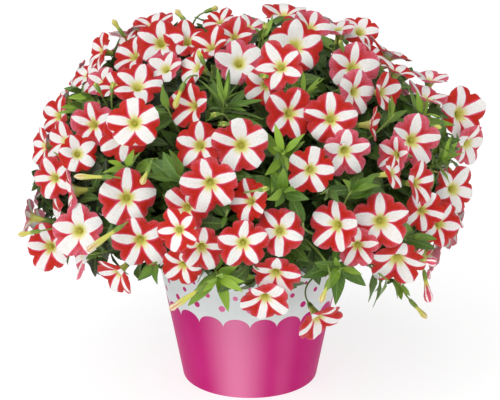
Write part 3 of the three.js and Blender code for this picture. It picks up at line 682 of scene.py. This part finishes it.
def bud_skin(sheaf, foot, way, length, kind, seed):
    draw = np.random.default_rng(seed)
    form = np.array(BUD_FORMS[kind])
    shares, radii = form[:, 0], form[:, 1] * MM
    bend = unit(np.cross(way, UP + RIGHTWARD * 0.3)) * length * draw.uniform(-0.1, 0.1)
    path = foot + way * length * shares[:, None] + bend * (shares ** 2)[:, None]
    pleats = np.cos(LOBES * all_round(BUD_COLUMNS) + 2.5 * shares[:, None])
    radii = radii[:, None] * (1 + 0.12 * pleats * smooth_step(0.4, 0.8, shares)[:, None])
    ways, rings = rings_along(path, radii, BUD_COLUMNS)
    reach = smooth_step(0.25, 1.0, shares)[:, None] * BUD_TIP_PLACES[kind]
    back, tip = (0.2, -0.02) if kind == "rolled" else (0.9, 0.04)
    values = values_of(reach, 0.0, draw.uniform(0, 1), 0.05 * pleats - 0.015, back)
    sheaf.skin(rings, foot, path[-1] + ways[-1] * length * tip, values)


# ---------------------------------------------------------------- leaves

LEAF_SHARES = np.array([0.04, 0.14, 0.28, 0.44, 0.6, 0.76, 0.9, 0.97])
LEAF_ACROSS = np.array([-1, -0.5, 0, 0.5, 1, 0.5, 0, -0.5])
LEAF_UNDERSIDE = np.array([0.5, 0, 0, 0, 0.5, 1, 1, 1])
LEAF_RIB = 2  # the place of the rib in these two
LEAF_THICKNESS = 0.0004


@dataclass
class Leaf:
    base: np.ndarray
    way: np.ndarray  # the way in which it points
    face: np.ndarray  # the way in which its upper side looks
    length: float
    width_share: float
    tone: float
    droop: float
    fold: float
    seed: int

    def sides(self):
        """The unit directions across the leaf and up from it."""
        side = unit(np.cross(self.way, self.face))
        return side, np.cross(side, self.way)


def leaf_skin(sheaf, leaf):
    """An arched blade on a short stalk, folded a little along its rib and waved at its edges."""
    draw = np.random.default_rng(leaf.seed)
    side, upper = leaf.sides()
    share, across = LEAF_SHARES[:, None], LEAF_ACROSS[None]
    swell = np.sin(np.pi * share ** 0.8) ** 0.85 * smooth_step(0.0, 0.35, share + 0.1)
    half = 0.5 * leaf.width_share * leaf.length * np.maximum(swell, 0.035)
    wave = 0.16 * np.sin(share * draw.uniform(7, 12) + draw.uniform(0, 6.3) + across * 1.5)
    lift = half * (leaf.fold * abs(across) + wave * abs(across) ** 2)
    sag = leaf.droop * leaf.length * share ** 2
    twist = draw.uniform(-0.25, 0.25) * share
    bend = draw.uniform(-0.08, 0.08) * leaf.length * share ** 2
    span = leaf.way * leaf.length * (1 - 0.25 * leaf.droop ** 2)
    aside = half * across * np.cos(twist) + bend
    above = lift - sag + half * across * np.sin(twist) - LEAF_THICKNESS * LEAF_UNDERSIDE
    rings = leaf.base + span * share[..., None] + side * aside[..., None] + upper * above[..., None]
    values = values_of(across, share, leaf.tone, back=LEAF_UNDERSIDE > 0.7)
    tip = leaf.base + span + side * bend[-1] - upper * leaf.droop * leaf.length
    sheaf.skin(rings, leaf.base, tip, values, column=LEAF_RIB)


def sepal_skins(sheaf, base, facing, lobe, tube_radius, length, tone, seed):
    """The five narrow sepals that clasp the foot of a tube."""
    for number in range(LOBES):
        outward = turned(lobe, facing, (number + 0.5) * LOBE_SPAN)
        foot = base + outward * tube_radius * 0.6 - facing * 0.001
        way = unit(facing + outward * 0.22)
        leaf_skin(sheaf, Leaf(foot, way, -outward, length, width_share=0.26, tone=tone,
                              droop=-0.18, fold=0.1, seed=seed * LOBES + number))


blooms = lay_out_blooms()
flower_stems, leafy_stems = lay_out_stems()
CENTRES = np.array([bloom.centre for bloom in blooms])
FACINGS = np.array([bloom.facing for bloom in blooms])
RADII = np.array([bloom.radius for bloom in blooms])


# Room that leaves keep free: beyond, before and behind a limb, in its mouth, and along the tube
MARGIN_ROOM = 0.004
FRONT_ROOM = 0.006
BACK_ROOM = 0.004
MOUTH_DEPTHS = (-0.012, 0.020)
MOUTH_SHARE = 0.85
TUBE_ROOM = 0.006


def clear_of_blooms(points):
    """Whether no point lies in, just before or just behind a limb, or in a tube."""
    apart = points[:, None] - CENTRES[None]
    depth = (apart * FACINGS[None]).sum(-1)
    reach = norm(apart - FACINGS[None] * depth[..., None], axis=-1)
    in_limb = (depth > -BACK_ROOM) & (depth < FRONT_ROOM) & (reach < RADII + MARGIN_ROOM)
    in_mouth = (depth > MOUTH_DEPTHS[0]) & (depth < MOUTH_DEPTHS[1]) & (reach < RADII * MOUTH_SHARE)
    in_tube = (depth > -TUBE_LENGTH) & (depth <= 0) & (reach < TUBE_ROOM)
    return not np.any(in_limb | in_mouth | in_tube)


def mound_share(points):
    """How far out points lie, as a share of the way from the mound's centre to its surface."""
    apart = points - MOUND_CENTRE
    rise = np.where(apart[:, 2] > 0, MOUND_RISE, MOUND_DROP)
    return np.sqrt((apart[:, 0] ** 2 + apart[:, 1] ** 2) / MOUND_RADIUS ** 2 + (apart[:, 2] / rise) ** 2)


def leaf_is_clear(leaf, limits):
    """Whether points along a leaf's rib and edges lie within the limits and clear of the blooms."""
    side, upper = leaf.sides()
    half = 0.5 * leaf.width_share * leaf.length
    ribs = [leaf.base + leaf.way * leaf.length * share - upper * leaf.droop * leaf.length * share ** 2
            for share in (0.35, 0.6, 0.85, 1.0)]
    edges = [ribs[number] + side * half * reach
             for number, reach in ((1, 1), (1, -1), (2, 0.7), (2, -0.7))]
    points = np.array(ribs + edges)
    furthest, lowest = limits
    inside = mound_share(points).max() < furthest and points[:, 2].min() > lowest
    return inside and clear_of_blooms(points)


def try_leaf(sheaf, leaf, limits):
    """Adds a leaf if some turn and size of it is clear of the blooms."""
    for size in (1, 0.75, 0.55):
        for turn in (0, 0.35, -0.35, 0.7, -0.7):
            way = turned(leaf.way, unit(leaf.face), turn)
            other = replace(leaf, way=way, length=leaf.length * size)
            if leaf_is_clear(other, limits):
                leaf_skin(sheaf, other)
                return


def grow_tuft(sheaf, tuft, axis, seed, limits):
    """Leaves in a spiral about the end of a shoot, short and upright at its tip."""
    draw = np.random.default_rng(seed)
    start = unit(np.cross(axis, np.array([0.2, 0.3, 0.9])))
    for number in range(tuft.leaves):
        share = (number + 0.5) / tuft.leaves
        spread = np.radians(between(14, 74, share ** 0.8) + draw.uniform(-8, 8))
        outward = turned(start, axis, number * GOLDEN_ANGLE + draw.uniform(-0.2, 0.2))
        way = axis * np.cos(spread) + outward * np.sin(spread)
        face = axis * np.sin(spread) - outward * np.cos(spread)
        base = tuft.point + axis * between(0.010, -0.012, share)
        length = tuft.leaf_length * between(0.55, 1.1, np.sqrt(share)) * draw.uniform(0.88, 1.12)
        tone = np.clip(tuft.tone + between(0.25, -0.15, share) + draw.uniform(-0.1, 0.1), 0, 1)
        droop, fold = draw.uniform(0.08, 0.28), draw.uniform(0.15, 0.4)
        leaf = Leaf(base, way, face, length, tuft.width_share, tone, droop, fold, seed * 64 + number)
        try_leaf(sheaf, leaf, limits)


# ---------------------------------------------------------------- the plants

# Radii in mm along the stems, the stalks of blooms and buds, the twigs and the tips of shoots
STEM_RADII = (2.3, 1.5)
STALK_RADII = (1.3, 0.8)
TWIG_RADII = (1.5, 1.0)
SHOOT_TIP_RADII = (1.0, 0.9, 0.6)
SHOOT_TIP_STEPS = np.array([[0], [0.006], [0.012]])
STALK_STEPS = 12
STALK_LEAF_STEPS = (8, 7, 6, 4)  # where small leaves grow along the stalk of a bloom

BUD_RISE = 0.006  # of a bud's foot from the mound towards the viewer

# Tufts of leaves below the blooms, which fill the mound's inside above and around the pot
FILL_POINTS = 440
FILL_LOWEST = -0.44
FILL_DEPTHS = (0.020, 0.080)
POT_CLEARANCE_RADIUS = 0.108
POT_CLEARANCE_TOP = 0.165

# How far out leaves may reach, as a share of the mound, and the lowest level they may reach
SEEN_LIMITS = (1.05, 0.112)
TUFT_LIMITS = (1.00, 0.125)
UNDER_LIMITS = (0.955, 0.140)

# First seed of the random draws of each kind of part
BUD_SEED = 300
BUD_SEPAL_SEED = 400
STALK_SEED = 1000
STALK_LEAF_SEED = 5000
TUFT_SEED = 7000
FILL_SEED = 9000
FILL_LEAF_SEED = 11000

petals = {stem.node: Sheaf() for stem in flower_stems}
greens = {stem.node: Sheaf() for stem in flower_stems + leafy_stems}


def grow_bloom(index, bloom):
    """A bloom on its stalk, with sepals and a few small leaves."""
    draw = np.random.default_rng(STALK_SEED + index)
    stem = nearest(flower_stems, bloom.centre)
    sheaf = greens[stem.node]
    bloom_skin(petals[stem.node], bloom, index)
    calyx = bloom.centre - bloom.facing * TUBE_LENGTH
    stalk = stem.branch(calyx, bloom.facing, 0.45, STALK_STEPS)
    rod(sheaf, stalk, STALK_RADII, tone=0.45, tip=0.001)
    sepal_skins(sheaf, calyx, bloom.facing, bloom.lobe, tube_radius=0.0022, length=0.014, tone=0.55,
                seed=index)
    for number, step in enumerate(STALK_LEAF_STEPS):
        onward = unit(stalk[step + 1] - stalk[step])
        turn = number * np.pi * 0.9 + draw.uniform(0, 6.3) * (number == 0)
        outward = turned(unit(np.cross(onward, UP + 0.1 * RIGHTWARD)), onward, turn)
        way, face = unit(onward * 0.6 + outward), unit(onward - outward * 0.6)
        length, tone = draw.uniform(0.030, 0.044), draw.uniform(0.1, 0.45)
        leaf = Leaf(stalk[step], way, face, length, width_share=0.42, tone=tone, droop=0.2, fold=0.25,
                    seed=STALK_LEAF_SEED + index * 8 + number)
        try_leaf(sheaf, leaf, UNDER_LIMITS)


def grow_bud(index, x, y, length, angle, towards, kind):
    """A bud on its stalk, with sepals."""
    angle, towards = np.radians([angle, towards])
    way = unit((RIGHTWARD * np.cos(angle) + UPWARD * np.sin(angle)) * np.cos(towards)
               - FORWARD * np.sin(towards))
    direction = sight(x, y)
    foot = mound_in_sight(direction) - direction * BUD_RISE
    stem = nearest(flower_stems, foot)
    sheaf = greens[stem.node]
    bud_skin(petals[stem.node], foot, way, length * MM, kind, BUD_SEED + index)
    stalk = stem.branch(foot, unit(way - direction * 0.8), 0.4, STALK_STEPS)
    rod(sheaf, stalk, STALK_RADII, tone=0.7, tip=0.001)
    lobe = unit(np.cross(way, UP + 0.2 * RIGHTWARD))
    sepal_skins(sheaf, foot, way, lobe, tube_radius=0.0018, length=0.011, tone=0.75,
                seed=BUD_SEPAL_SEED + index)


def grow_shoot(index, tuft, limits):
    """A tuft on its twig, with the young tip of the shoot in its middle."""
    stem = nearest(leafy_stems, tuft.point)
    sheaf = greens[stem.node]
    onward = unit(tuft.point - stem.path[-1])
    axis = unit(mound_normal(tuft.point) + UP * 0.35 + onward * 0.4)
    rod(sheaf, stem.branch(tuft.point, axis, 0.4, 10), TWIG_RADII, tone=0.6)
    rod(sheaf, tuft.point + axis * SHOOT_TIP_STEPS, SHOOT_TIP_RADII, tone=0.9)
    grow_tuft(sheaf, tuft, axis, TUFT_SEED + index, limits)


def grow_filling(index, surface):
    """A small tuft of broad leaves at some depth below a point of the mound, dark as painted shade."""
    draw = np.random.default_rng(FILL_SEED + index)
    normal = mound_normal(surface)
    point = surface - normal * between(*FILL_DEPTHS, scatter(index, GOLDEN_STEP))
    if np.hypot(point[0], point[1]) < POT_CLEARANCE_RADIUS and point[2] < POT_CLEARANCE_TOP:
        return
    stem = nearest(leafy_stems, point)
    sheaf = greens[stem.node]
    axis = unit(normal + UP * 0.3 + draw.normal(0, 0.25, 3))
    rod(sheaf, stem.branch(point, axis, 0.4, 6), STALK_RADII, tone=0.4, sides=5)
    # A low tone: painted shade for leaves deep inside the mound
    tuft = Tuft(point, draw.uniform(0.034, 0.050), 5, draw.uniform(0.36, 0.5), draw.uniform(0.0, 0.32))
    turned_away = normal @ unit(EYE - surface) < 0
    grow_tuft(sheaf, tuft, axis, FILL_LEAF_SEED + index, TUFT_LIMITS if turned_away else UNDER_LIMITS)


for stem in flower_stems + leafy_stems:
    rod(greens[stem.node], stem.path, STEM_RADII, tone=0.25, sides=8)
for index, bloom in enumerate(blooms):
    grow_bloom(index, bloom)
for index, row in enumerate(SEEN_BUDS):
    grow_bud(index, *row)

tufts = lay_out_tufts(blooms)
lattice_tufts = range(len(SEEN_TUFTS), len(tufts))
tufts += seen_tufts(BACKING_TUFTS)
for index, tuft in enumerate(tufts):
    grow_shoot(index, tuft, TUFT_LIMITS if index in lattice_tufts else SEEN_LIMITS)
for index, surface in enumerate(mound_lattice(FILL_POINTS, FILL_LOWEST)):
    grow_filling(index, surface)


# ---------------------------------------------------------------- materials

def shown(red, green, blue):
    """A colour as it shows, from 0 to 255, as the linear values that a shader takes."""
    values = np.array([red, green, blue]) / 255
    linear = np.where(values <= 0.04045, values / 12.92, ((values + 0.055) / 1.055) ** 2.4)
    return (*linear, 1.0)


class Term:
    """A value in a material. Sums with terms and numbers make further nodes of it."""

    def __init__(self, recipe, socket):
        self.recipe = recipe
        self.socket = socket

    def __add__(self, other):
        return self.recipe.math("ADD", self, other)

    def __sub__(self, other):
        return self.recipe.math("SUBTRACT", self, other)

    def __rsub__(self, other):
        return self.recipe.math("SUBTRACT", other, self)

    def __mul__(self, other):
        return self.recipe.math("MULTIPLY", self, other)

    def __truediv__(self, other):
        return self.recipe.math("DIVIDE", self, other)

    def __abs__(self):
        return self.recipe.math("ABSOLUTE", self)


class Recipe:
    """A node material, built by short calls that take numbers, colours or terms."""

    def __init__(self, name, roughness, **constants):
        self.material = bpy.data.materials.new(name)
        self.material.use_nodes = True
        self.nodes = self.material.node_tree.nodes
        self.links = self.material.node_tree.links
        self.shader = self.nodes["Principled BSDF"]
        self.shader.inputs["Roughness"].default_value = roughness
        for socket, value in constants.items():
            self.shader.inputs[socket.replace("_", " ")].default_value = value

    def put(self, socket, value):
        if isinstance(value, Term):
            self.links.new(value.socket, socket)
        else:
            socket.default_value = value

    def node(self, kind, *inputs, output=0, **settings):
        """The term that a new node puts out. An input of None stays as it is."""
        node = self.nodes.new(kind)
        for key, value in settings.items():
            setattr(node, key, value)
        for socket, value in zip(node.inputs, inputs):
            if value is not None:
                self.put(socket, value)
        return Term(self, node.outputs[output])

    def math(self, operation, *values):
        return self.node("ShaderNodeMath", *values, operation=operation)

    def length(self, x, y):
        return self.math("SQRT", x * x + y * y)

    def mix(self, share, one, other):
        """A colour that goes from one to the other as the share goes from 0 to 1."""
        other_kinds = [None] * 5  # the inputs for numbers and vectors
        return self.node("ShaderNodeMix", share, *other_kinds, one, other, output=2, data_type="RGBA")

    def ramp(self, value, low, high, start=0.0, end=1.0):
        """A smooth rise or fall from one value to another."""
        return self.node("ShaderNodeMapRange", value, low, high, start, end,
                         interpolation_type="SMOOTHSTEP")

    def noise(self, scale, detail, vector=None):
        """Noise over a vector, or else over the object's own space."""
        return self.node("ShaderNodeTexNoise", vector or self.position(), None, scale, detail)

    def split(self, vector):
        parts = self.node("ShaderNodeSeparateXYZ", vector).socket.node.outputs
        return [Term(self, part) for part in parts]

    def attribute(self, name):
        return self.split(self.node("ShaderNodeAttribute", output="Vector", attribute_name=name))

    def position(self):
        return self.node("ShaderNodeTexCoord", output="Object")

    def bump(self, height, strength, distance):
        bump = self.nodes.new("ShaderNodeBump")
        self.put(bump.inputs["Height"], height)
        self.put(bump.inputs["Strength"], strength)
        self.put(bump.inputs["Distance"], distance)
        self.links.new(bump.outputs["Normal"], self.shader.inputs["Normal"])

    def coloured(self, value):
        """The finished material, in a colour."""
        self.put(self.shader.inputs["Base Color"], value)
        return self.material


def petal_material():
    recipe = Recipe("petal", 0.5, Sheen_Weight=0.04, Sheen_Roughness=0.5, Specular_IOR_Level=0.2,
                    Subsurface_Weight=0.45, Subsurface_Scale=0.004,
                    Subsurface_Radius=(1.0, 0.8, 0.8))
    mix, ramp = recipe.mix, recipe.ramp
    x, y, tone = recipe.attribute("place")
    star, back, stamen = recipe.attribute("make")
    reach = recipe.length(x, y)
    away = recipe.math("MAXIMUM", reach, 0.02)
    ray = recipe.node("ShaderNodeCombineXYZ", x / away + tone * 40.0, y / away, reach * 0.35)
    streak = recipe.noise(7.0, 3.0, ray)
    vein_and_fold_shade = recipe.noise(22.0, 2.0, ray)
    cloud = recipe.noise(100.0, 1.0)

    # The white arms, with uneven edges, on red that turns pinker towards the margin
    inside = star + (streak - 0.5) * 0.06
    arm = ramp(inside, -0.012, 0.014)
    fringe = ramp(inside, -0.075, -0.002, 0.0, 0.85)
    paler = cloud * 0.3 + tone * 0.8
    red = mix(ramp(reach + paler, 1.05, 1.8), shown(194, 26, 8), shown(226, 104, 128))
    # Red and white darken along the vein noise: veins, and painted shade in the petals' folds
    red = mix(ramp(vein_and_fold_shade, 0.42, 0.68, 0.0, 0.6), red, shown(146, 16, 10))
    red = mix(fringe, red, shown(228, 84, 126))
    white = mix(ramp(vein_and_fold_shade, 0.45, 0.72, 0.0, 0.5), shown(252, 246, 242), shown(224, 214, 206))
    front = mix(arm, red, white)

    # The throat, with rays out into the arms
    glow = reach + (streak - 0.5) * 0.3
    in_arm = glow + (1.0 - arm) * 0.12
    front = mix(ramp(in_arm, 0.42, 0.15), front, shown(216, 212, 110))
    front = mix(ramp(reach, 0.15, 0.05), front, shown(206, 202, 92))
    front = mix(stamen, front, shown(206, 202, 96))

    # The back: pale green on the tube, and a faded copy of the front on the limb
    faded = mix(arm, shown(226, 132, 150), shown(248, 246, 240))
    rear = mix(ramp(glow, 0.15, 0.55), shown(206, 208, 104), faded)
    recipe.bump(vein_and_fold_shade + streak, 0.25, 0.0004)
    return recipe.coloured(mix(back, front, rear))


def leaf_material():
    recipe = Recipe("leaf", 0.46, Sheen_Weight=0.10, Specular_IOR_Level=0.4)
    mix, ramp = recipe.mix, recipe.ramp
    across, along, tone = recipe.attribute("place")
    _, under, _ = recipe.attribute("make")
    cloud = recipe.noise(70.0, 3.0)
    speckle = recipe.noise(900.0, 2.0)
    side = abs(across)
    young = tone + (cloud - 0.5) * 0.35
    # The dark end: old leaves, and painted shade on the leaves that fill the mound's inside
    blade = mix(ramp(young, 0.0, 0.5), shown(24, 44, 12), shown(76, 112, 28))
    blade = mix(ramp(young, 0.5, 1.0), blade, shown(142, 178, 48))

    # A pale rib with side veins that run forward to the edges
    slant = along * 8.0 - side * 1.3
    gap = abs(recipe.math("FRACT", slant) - 0.5)
    lines = recipe.math("MAXIMUM", ramp(gap, 0.10, 0.0, 0.0, 0.22), ramp(side, 0.12, 0.02, 0.0, 0.5))
    blade = mix(lines, blade, shown(142, 172, 84))
    blade = mix(under * 0.45, blade, shown(134, 156, 84))
    recipe.bump(speckle * 0.5 - lines, 0.35, 0.0004)
    return recipe.coloured(blade)


def stalk_material():
    recipe = Recipe("stalk", 0.5, Sheen_Weight=0.15)
    mix, ramp = recipe.mix, recipe.ramp
    _, along, tone = recipe.attribute("place")
    streak = recipe.noise(260.0, 3.0)
    young = tone + (along - 0.5) * 0.4
    green = mix(ramp(young, 0.1, 0.9), shown(60, 76, 32), shown(146, 174, 74))
    green = mix(ramp(streak, 0.4, 0.75, 0.0, 0.4), green, shown(98, 104, 50))
    recipe.bump(streak, 0.3, 0.0004)
    return recipe.coloured(green)


PETAL, LEAF, STALK = petal_material(), leaf_material(), stalk_material()

for node, sheaf in petals.items():
    piece = sheaf.piece(f"{node}_blooms", [PETAL])
    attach(piece, "root")
    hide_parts(node)

for node, sheaf in greens.items():
    piece = sheaf.piece(f"{node}_greens", [LEAF, STALK])
    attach(piece, "root")
    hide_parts(node)


# ---------------------------------------------------------------- pot and soil

POT_BASE_RADIUS = 0.070
POT_HEIGHT = 0.145
POT_TAPER = 0.187
POT_WALL = 0.0022
POT_FLOOR = 0.003
RIM_HEIGHT = 0.007
RIM_REACH = 0.0026
FOOT_ROUND = 0.002
RIM_FOOT_ROUND = 0.0012
RIM_TOP_ROUND = 0.0014
LIP_ROUND = 0.0009
POT_SIDES = 160
DRAIN_COUNT = 6
DRAIN_RADIUS = 0.0045
DRAIN_CIRCLE_RADIUS = 0.048


def outer_radius(z):
    return POT_BASE_RADIUS + POT_TAPER * z


def arc(centre_radius, centre_z, size, start, end, steps):
    """Points of a round stretch of an outline, by angle in degrees from straight outwards."""
    return [(centre_radius + size * np.cos(angle), centre_z + size * np.sin(angle))
            for angle in np.radians(np.linspace(start, end, steps + 1))]


def lathed(name, outline, sides, material):
    """A turned body from points of radius and height, with its two ends on the axis."""
    (_, bottom), *bends, (_, top) = outline
    radii, heights = np.array(bends).T[..., None]
    angles = all_round(sides)
    flat = radii * np.cos(angles), radii * np.sin(angles)
    rings = np.stack(np.broadcast_arrays(*flat, heights), -1)
    sheaf = Sheaf()
    sheaf.skin(rings, (0, 0, bottom), (0, 0, top), np.zeros((len(bends), sides, 6)))
    return sheaf.piece(name, [material], sharp_angle=40)


PRINT_REPEATS = 20
PRINT_EDGE_Z = 0.082
PRINT_SCALLOP_HEIGHT = 0.011
PRINT_BLUR = 0.0002
# Painted highlights: soft pale bands in the lower field, in place of a strip light's reflection, so many
# times around: the middle's azimuth and the reach to either side in degrees, and the strength
HIGHLIGHT_REPEATS = 3
PAINTED_HIGHLIGHT_BANDS = ((-100, 30, 0.85), (-64, 14, 0.18))
# Rows of dots: the shift by a share of the spacing, the height and the radius
PRINT_DOT_ROWS = ((0.5, 0.104, 0.0034), (0.0, 0.117, 0.0026), (0.5, 0.128, 0.0018))


def pot_material():
    recipe = Recipe("pot_plastic", 0.45, Specular_IOR_Level=0.08)
    mix, ramp = recipe.mix, recipe.ramp
    x, y, z = recipe.split(recipe.position())
    repeat = 2 * np.pi / PRINT_REPEATS
    turn = recipe.math("ARCTAN2", y, x) / repeat
    radius = recipe.length(x, y)
    width = radius * repeat

    def from_middle(turns, shift):
        """The way from the middle of a repeat, as a share of it, from -0.5 to 0.5."""
        return recipe.math("FRACT", turns + shift) - 0.5

    # Scallops along the top of the lower field
    half = from_middle(turn, 0.0) * 2.0
    round_top = recipe.math("SQRT", 1.02 - half * half)
    below = round_top * PRINT_SCALLOP_HEIGHT + PRINT_EDGE_Z - z
    printed = ramp(below, -PRINT_BLUR, PRINT_BLUR)

    # Rows of dots above them
    for shift, height, size in PRINT_DOT_ROWS:
        apart = recipe.length(from_middle(turn, shift) * width, z - height)
        printed = recipe.math("MAXIMUM", printed, ramp(apart, size + PRINT_BLUR, size - PRINT_BLUR))

    cloud = recipe.noise(30.0, 3.0)
    grain = recipe.noise(1400.0, 2.0)
    magenta = mix(ramp(cloud, 0.35, 0.7), shown(194, 26, 116), shown(198, 32, 121))
    # Painted highlight: the magenta turns pale pink in these bands, in place of a reflection
    highlight_span = 360 / HIGHLIGHT_REPEATS
    for middle, reach, strength in PAINTED_HIGHLIGHT_BANDS:
        share = from_middle(turn * (HIGHLIGHT_REPEATS / PRINT_REPEATS), 0.5 - middle / highlight_span)
        painted_highlight = ramp(abs(share), reach / highlight_span, 0.0, 0.0, strength)
        magenta = mix(painted_highlight, magenta, shown(232, 132, 174))
    grey = mix(ramp(cloud, 0.35, 0.7), shown(222, 227, 227), shown(228, 232, 232))
    outside = mix(printed, grey, magenta)
    on_wall = ramp(radius - z * POT_TAPER, POT_BASE_RADIUS - 0.0016, POT_BASE_RADIUS - 0.0014)
    recipe.bump(grain, 0.06, 0.0002)
    recipe.put(recipe.shader.inputs["Roughness"], ramp(grain, 0.3, 0.7, 0.42, 0.50))
    return recipe.coloured(mix(on_wall, shown(226, 230, 230), outside))


def make_pot():
    rim_foot = POT_HEIGHT - RIM_HEIGHT
    rim_radius = outer_radius(POT_HEIGHT) + RIM_REACH
    inner_top = outer_radius(POT_HEIGHT) - POT_WALL
    inner_foot = outer_radius(POT_FLOOR) - POT_WALL
    outline = [
        (0, 0),
        (POT_BASE_RADIUS - 0.008, 0),
        *arc(POT_BASE_RADIUS - 0.0016, FOOT_ROUND, FOOT_ROUND, -90, -10, 5),
        *[(outer_radius(z), z) for z in np.linspace(0.006, rim_foot - 0.002, 10)],
        *arc(rim_radius - RIM_FOOT_ROUND, rim_foot + RIM_FOOT_ROUND, RIM_FOOT_ROUND, -80, 0, 4),
        *arc(rim_radius - RIM_TOP_ROUND, POT_HEIGHT - RIM_TOP_ROUND, RIM_TOP_ROUND, 0, 90, 5),
        *arc(inner_top + LIP_ROUND, POT_HEIGHT - LIP_ROUND, LIP_ROUND, 90, 180, 3),
        *[(outer_radius(z) - POT_WALL, z) for z in np.linspace(0.130, 0.012, 6)],
        *arc(inner_foot - FOOT_ROUND, POT_FLOOR + FOOT_ROUND, FOOT_ROUND, 0, -90, 3),
        (0, POT_FLOOR),
    ]
    pot = lathed("flower_pot", outline, POT_SIDES, pot_material())
    for number in range(DRAIN_COUNT):
        angle = 2 * np.pi * (number + 0.5) / DRAIN_COUNT
        place = (DRAIN_CIRCLE_RADIUS * np.cos(angle), DRAIN_CIRCLE_RADIUS * np.sin(angle), POT_FLOOR / 2)
        bpy.ops.mesh.primitive_cylinder_add(vertices=32, radius=DRAIN_RADIUS, depth=0.02, location=place)
        drill = bpy.context.object
        cut = pot.modifiers.new("drain", "BOOLEAN")
        cut.operation, cut.solver, cut.object = "DIFFERENCE", "EXACT", drill
        bpy.context.view_layer.objects.active = pot
        bpy.ops.object.modifier_apply(modifier=cut.name)
        bpy.data.objects.remove(drill)
    return pot


def soil_material():
    recipe = Recipe("potting_soil", 0.95, Specular_IOR_Level=0.2)
    clod = recipe.noise(160.0, 5.0)
    crumb = recipe.noise(700.0, 3.0)
    earth = recipe.mix(recipe.ramp(clod, 0.35, 0.65), shown(30, 21, 14), shown(72, 52, 36))
    earth = recipe.mix(recipe.ramp(crumb, 0.66, 0.72), earth, shown(190, 182, 168))
    recipe.bump(clod + crumb * 0.4, 0.9, 0.003)
    return recipe.coloured(earth)


SOIL_SIDES = 150
SOIL_RINGS = 46
SOIL_LUMPS = ((90, 0.0016), (240, 0.0010), (620, 0.0006))  # waves: radians a metre, and height
SOIL_GRAIN = 0.0004
HIGHEST_LUMP = 0.003


def make_soil():
    """Potting soil with a crumbly, lumpy top."""
    top_radius = outer_radius(SOIL_TOP) - POT_WALL - 0.0004
    bottom = POT_FLOOR + REST_GAP
    rings = [(radius, SOIL_TOP - 0.001) for radius in np.linspace(top_radius, 0.0015, SOIL_RINGS)]
    outline = [(0, bottom), (outer_radius(bottom) - POT_WALL - 0.0008, bottom), *rings, (0, SOIL_TOP)]
    soil = lathed("soil_fill", outline, SOIL_SIDES, soil_material())
    draw = np.random.default_rng(17)
    count = len(soil.data.vertices)
    points = np.empty(count * 3, dtype=np.float32)
    soil.data.vertices.foreach_get("co", points)
    points = points.reshape(-1, 3)
    on_top = points[:, 2] > SOIL_TOP - 0.002
    lumps = np.zeros(count)
    for size, height in SOIL_LUMPS:
        for _ in range(6):
            way = draw.normal(size=2)
            way /= norm(way)
            lumps += height * 0.5 * np.sin((points[:, :2] @ way) * size * draw.uniform(0.7, 1.4)
                                           + draw.uniform(0, 6.3))
    lumps += draw.normal(0, SOIL_GRAIN, count)
    points[on_top, 2] += np.clip(lumps[on_top], -HIGHEST_LUMP, HIGHEST_LUMP)
    soil.data.vertices.foreach_set("co", points.ravel())
    soil.data.update()
    return soil


pot = make_pot()
soil = make_soil()
for piece, node, slot in ((pot, "pot", "pot_plastic"), (soil, "soil", "soil")):
    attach(piece, "root")
    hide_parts(node)


# ---------------------------------------------------------------- floor, lights and camera

FLOOR_SIZE = 30
FLOOR_Z = -0.0004
FLOOR_COLOUR = (0.36, 0.36, 0.36, 1)
FLOOR_GLOW = 0.76
WORLD_GLOW = 0.38
WHITE = (1, 1, 1, 1)


def make_floor():
    mesh = bpy.data.meshes.new("floor")
    half = FLOOR_SIZE / 2
    corners = [(x, y, FLOOR_Z) for x, y in ((-half, -half), (half, -half), (half, half), (-half, half))]
    mesh.from_pydata(corners, [], [(0, 1, 2, 3)])
    recipe = Recipe("studio_floor", 0.9, Specular_IOR_Level=0.1, Emission_Color=WHITE,
                    Emission_Strength=FLOOR_GLOW)
    mesh.materials.append(recipe.coloured(FLOOR_COLOUR))
    add_object("floor", mesh)


def turn_along(thing, way, axis):
    """Turns a lamp or the camera so that its axis, Z or -Z, lies along a way."""
    thing.rotation_euler = Vector(way).to_track_quat(axis, "Y").to_euler()


def area_light(name, place, aim, size, power):
    light = bpy.data.lights.new(name, "AREA")
    light.shape = "SQUARE"
    light.size = size
    light.energy = power
    lamp = add_object(name, light)
    lamp.location = place
    turn_along(lamp, Vector(aim) - Vector(place), "-Z")


def soft_sun(name, way, strength, angle):
    """An even light from afar, as wide as the angle in degrees."""
    light = bpy.data.lights.new(name, "SUN")
    light.energy = strength
    light.angle = np.radians(angle)
    turn_along(add_object(name, light), way, "Z")


def make_camera():
    camera = bpy.data.cameras.new("camera")
    camera.sensor_fit = "HORIZONTAL"
    camera.sensor_width = SENSOR_WIDTH
    camera.lens = FOCAL_PIXELS / IMAGE_WIDTH * SENSOR_WIDTH
    eye = add_object("camera", camera)
    eye.location = EYE
    turn_along(eye, AIM - EYE, "-Z")
    bpy.context.scene.camera = eye


def make_world():
    world = bpy.data.worlds.new("studio")
    world.use_nodes = True
    background = world.node_tree.nodes["Background"]
    background.inputs["Color"].default_value = WHITE
    background.inputs["Strength"].default_value = WORLD_GLOW
    bpy.context.scene.world = world


make_floor()
make_camera()
make_world()
area_light("key", (-1.2, -1.8, 1.5), (0, 0, 0.22), 1.2, 14)
area_light("fill", (1.6, -1.6, 0.8), (0, 0, 0.2), 1.4, 5)
soft_sun("sky", (-0.35, -0.55, 1.0), 1.35, 80)
bpy.context.scene.view_settings.view_transform = "Standard"
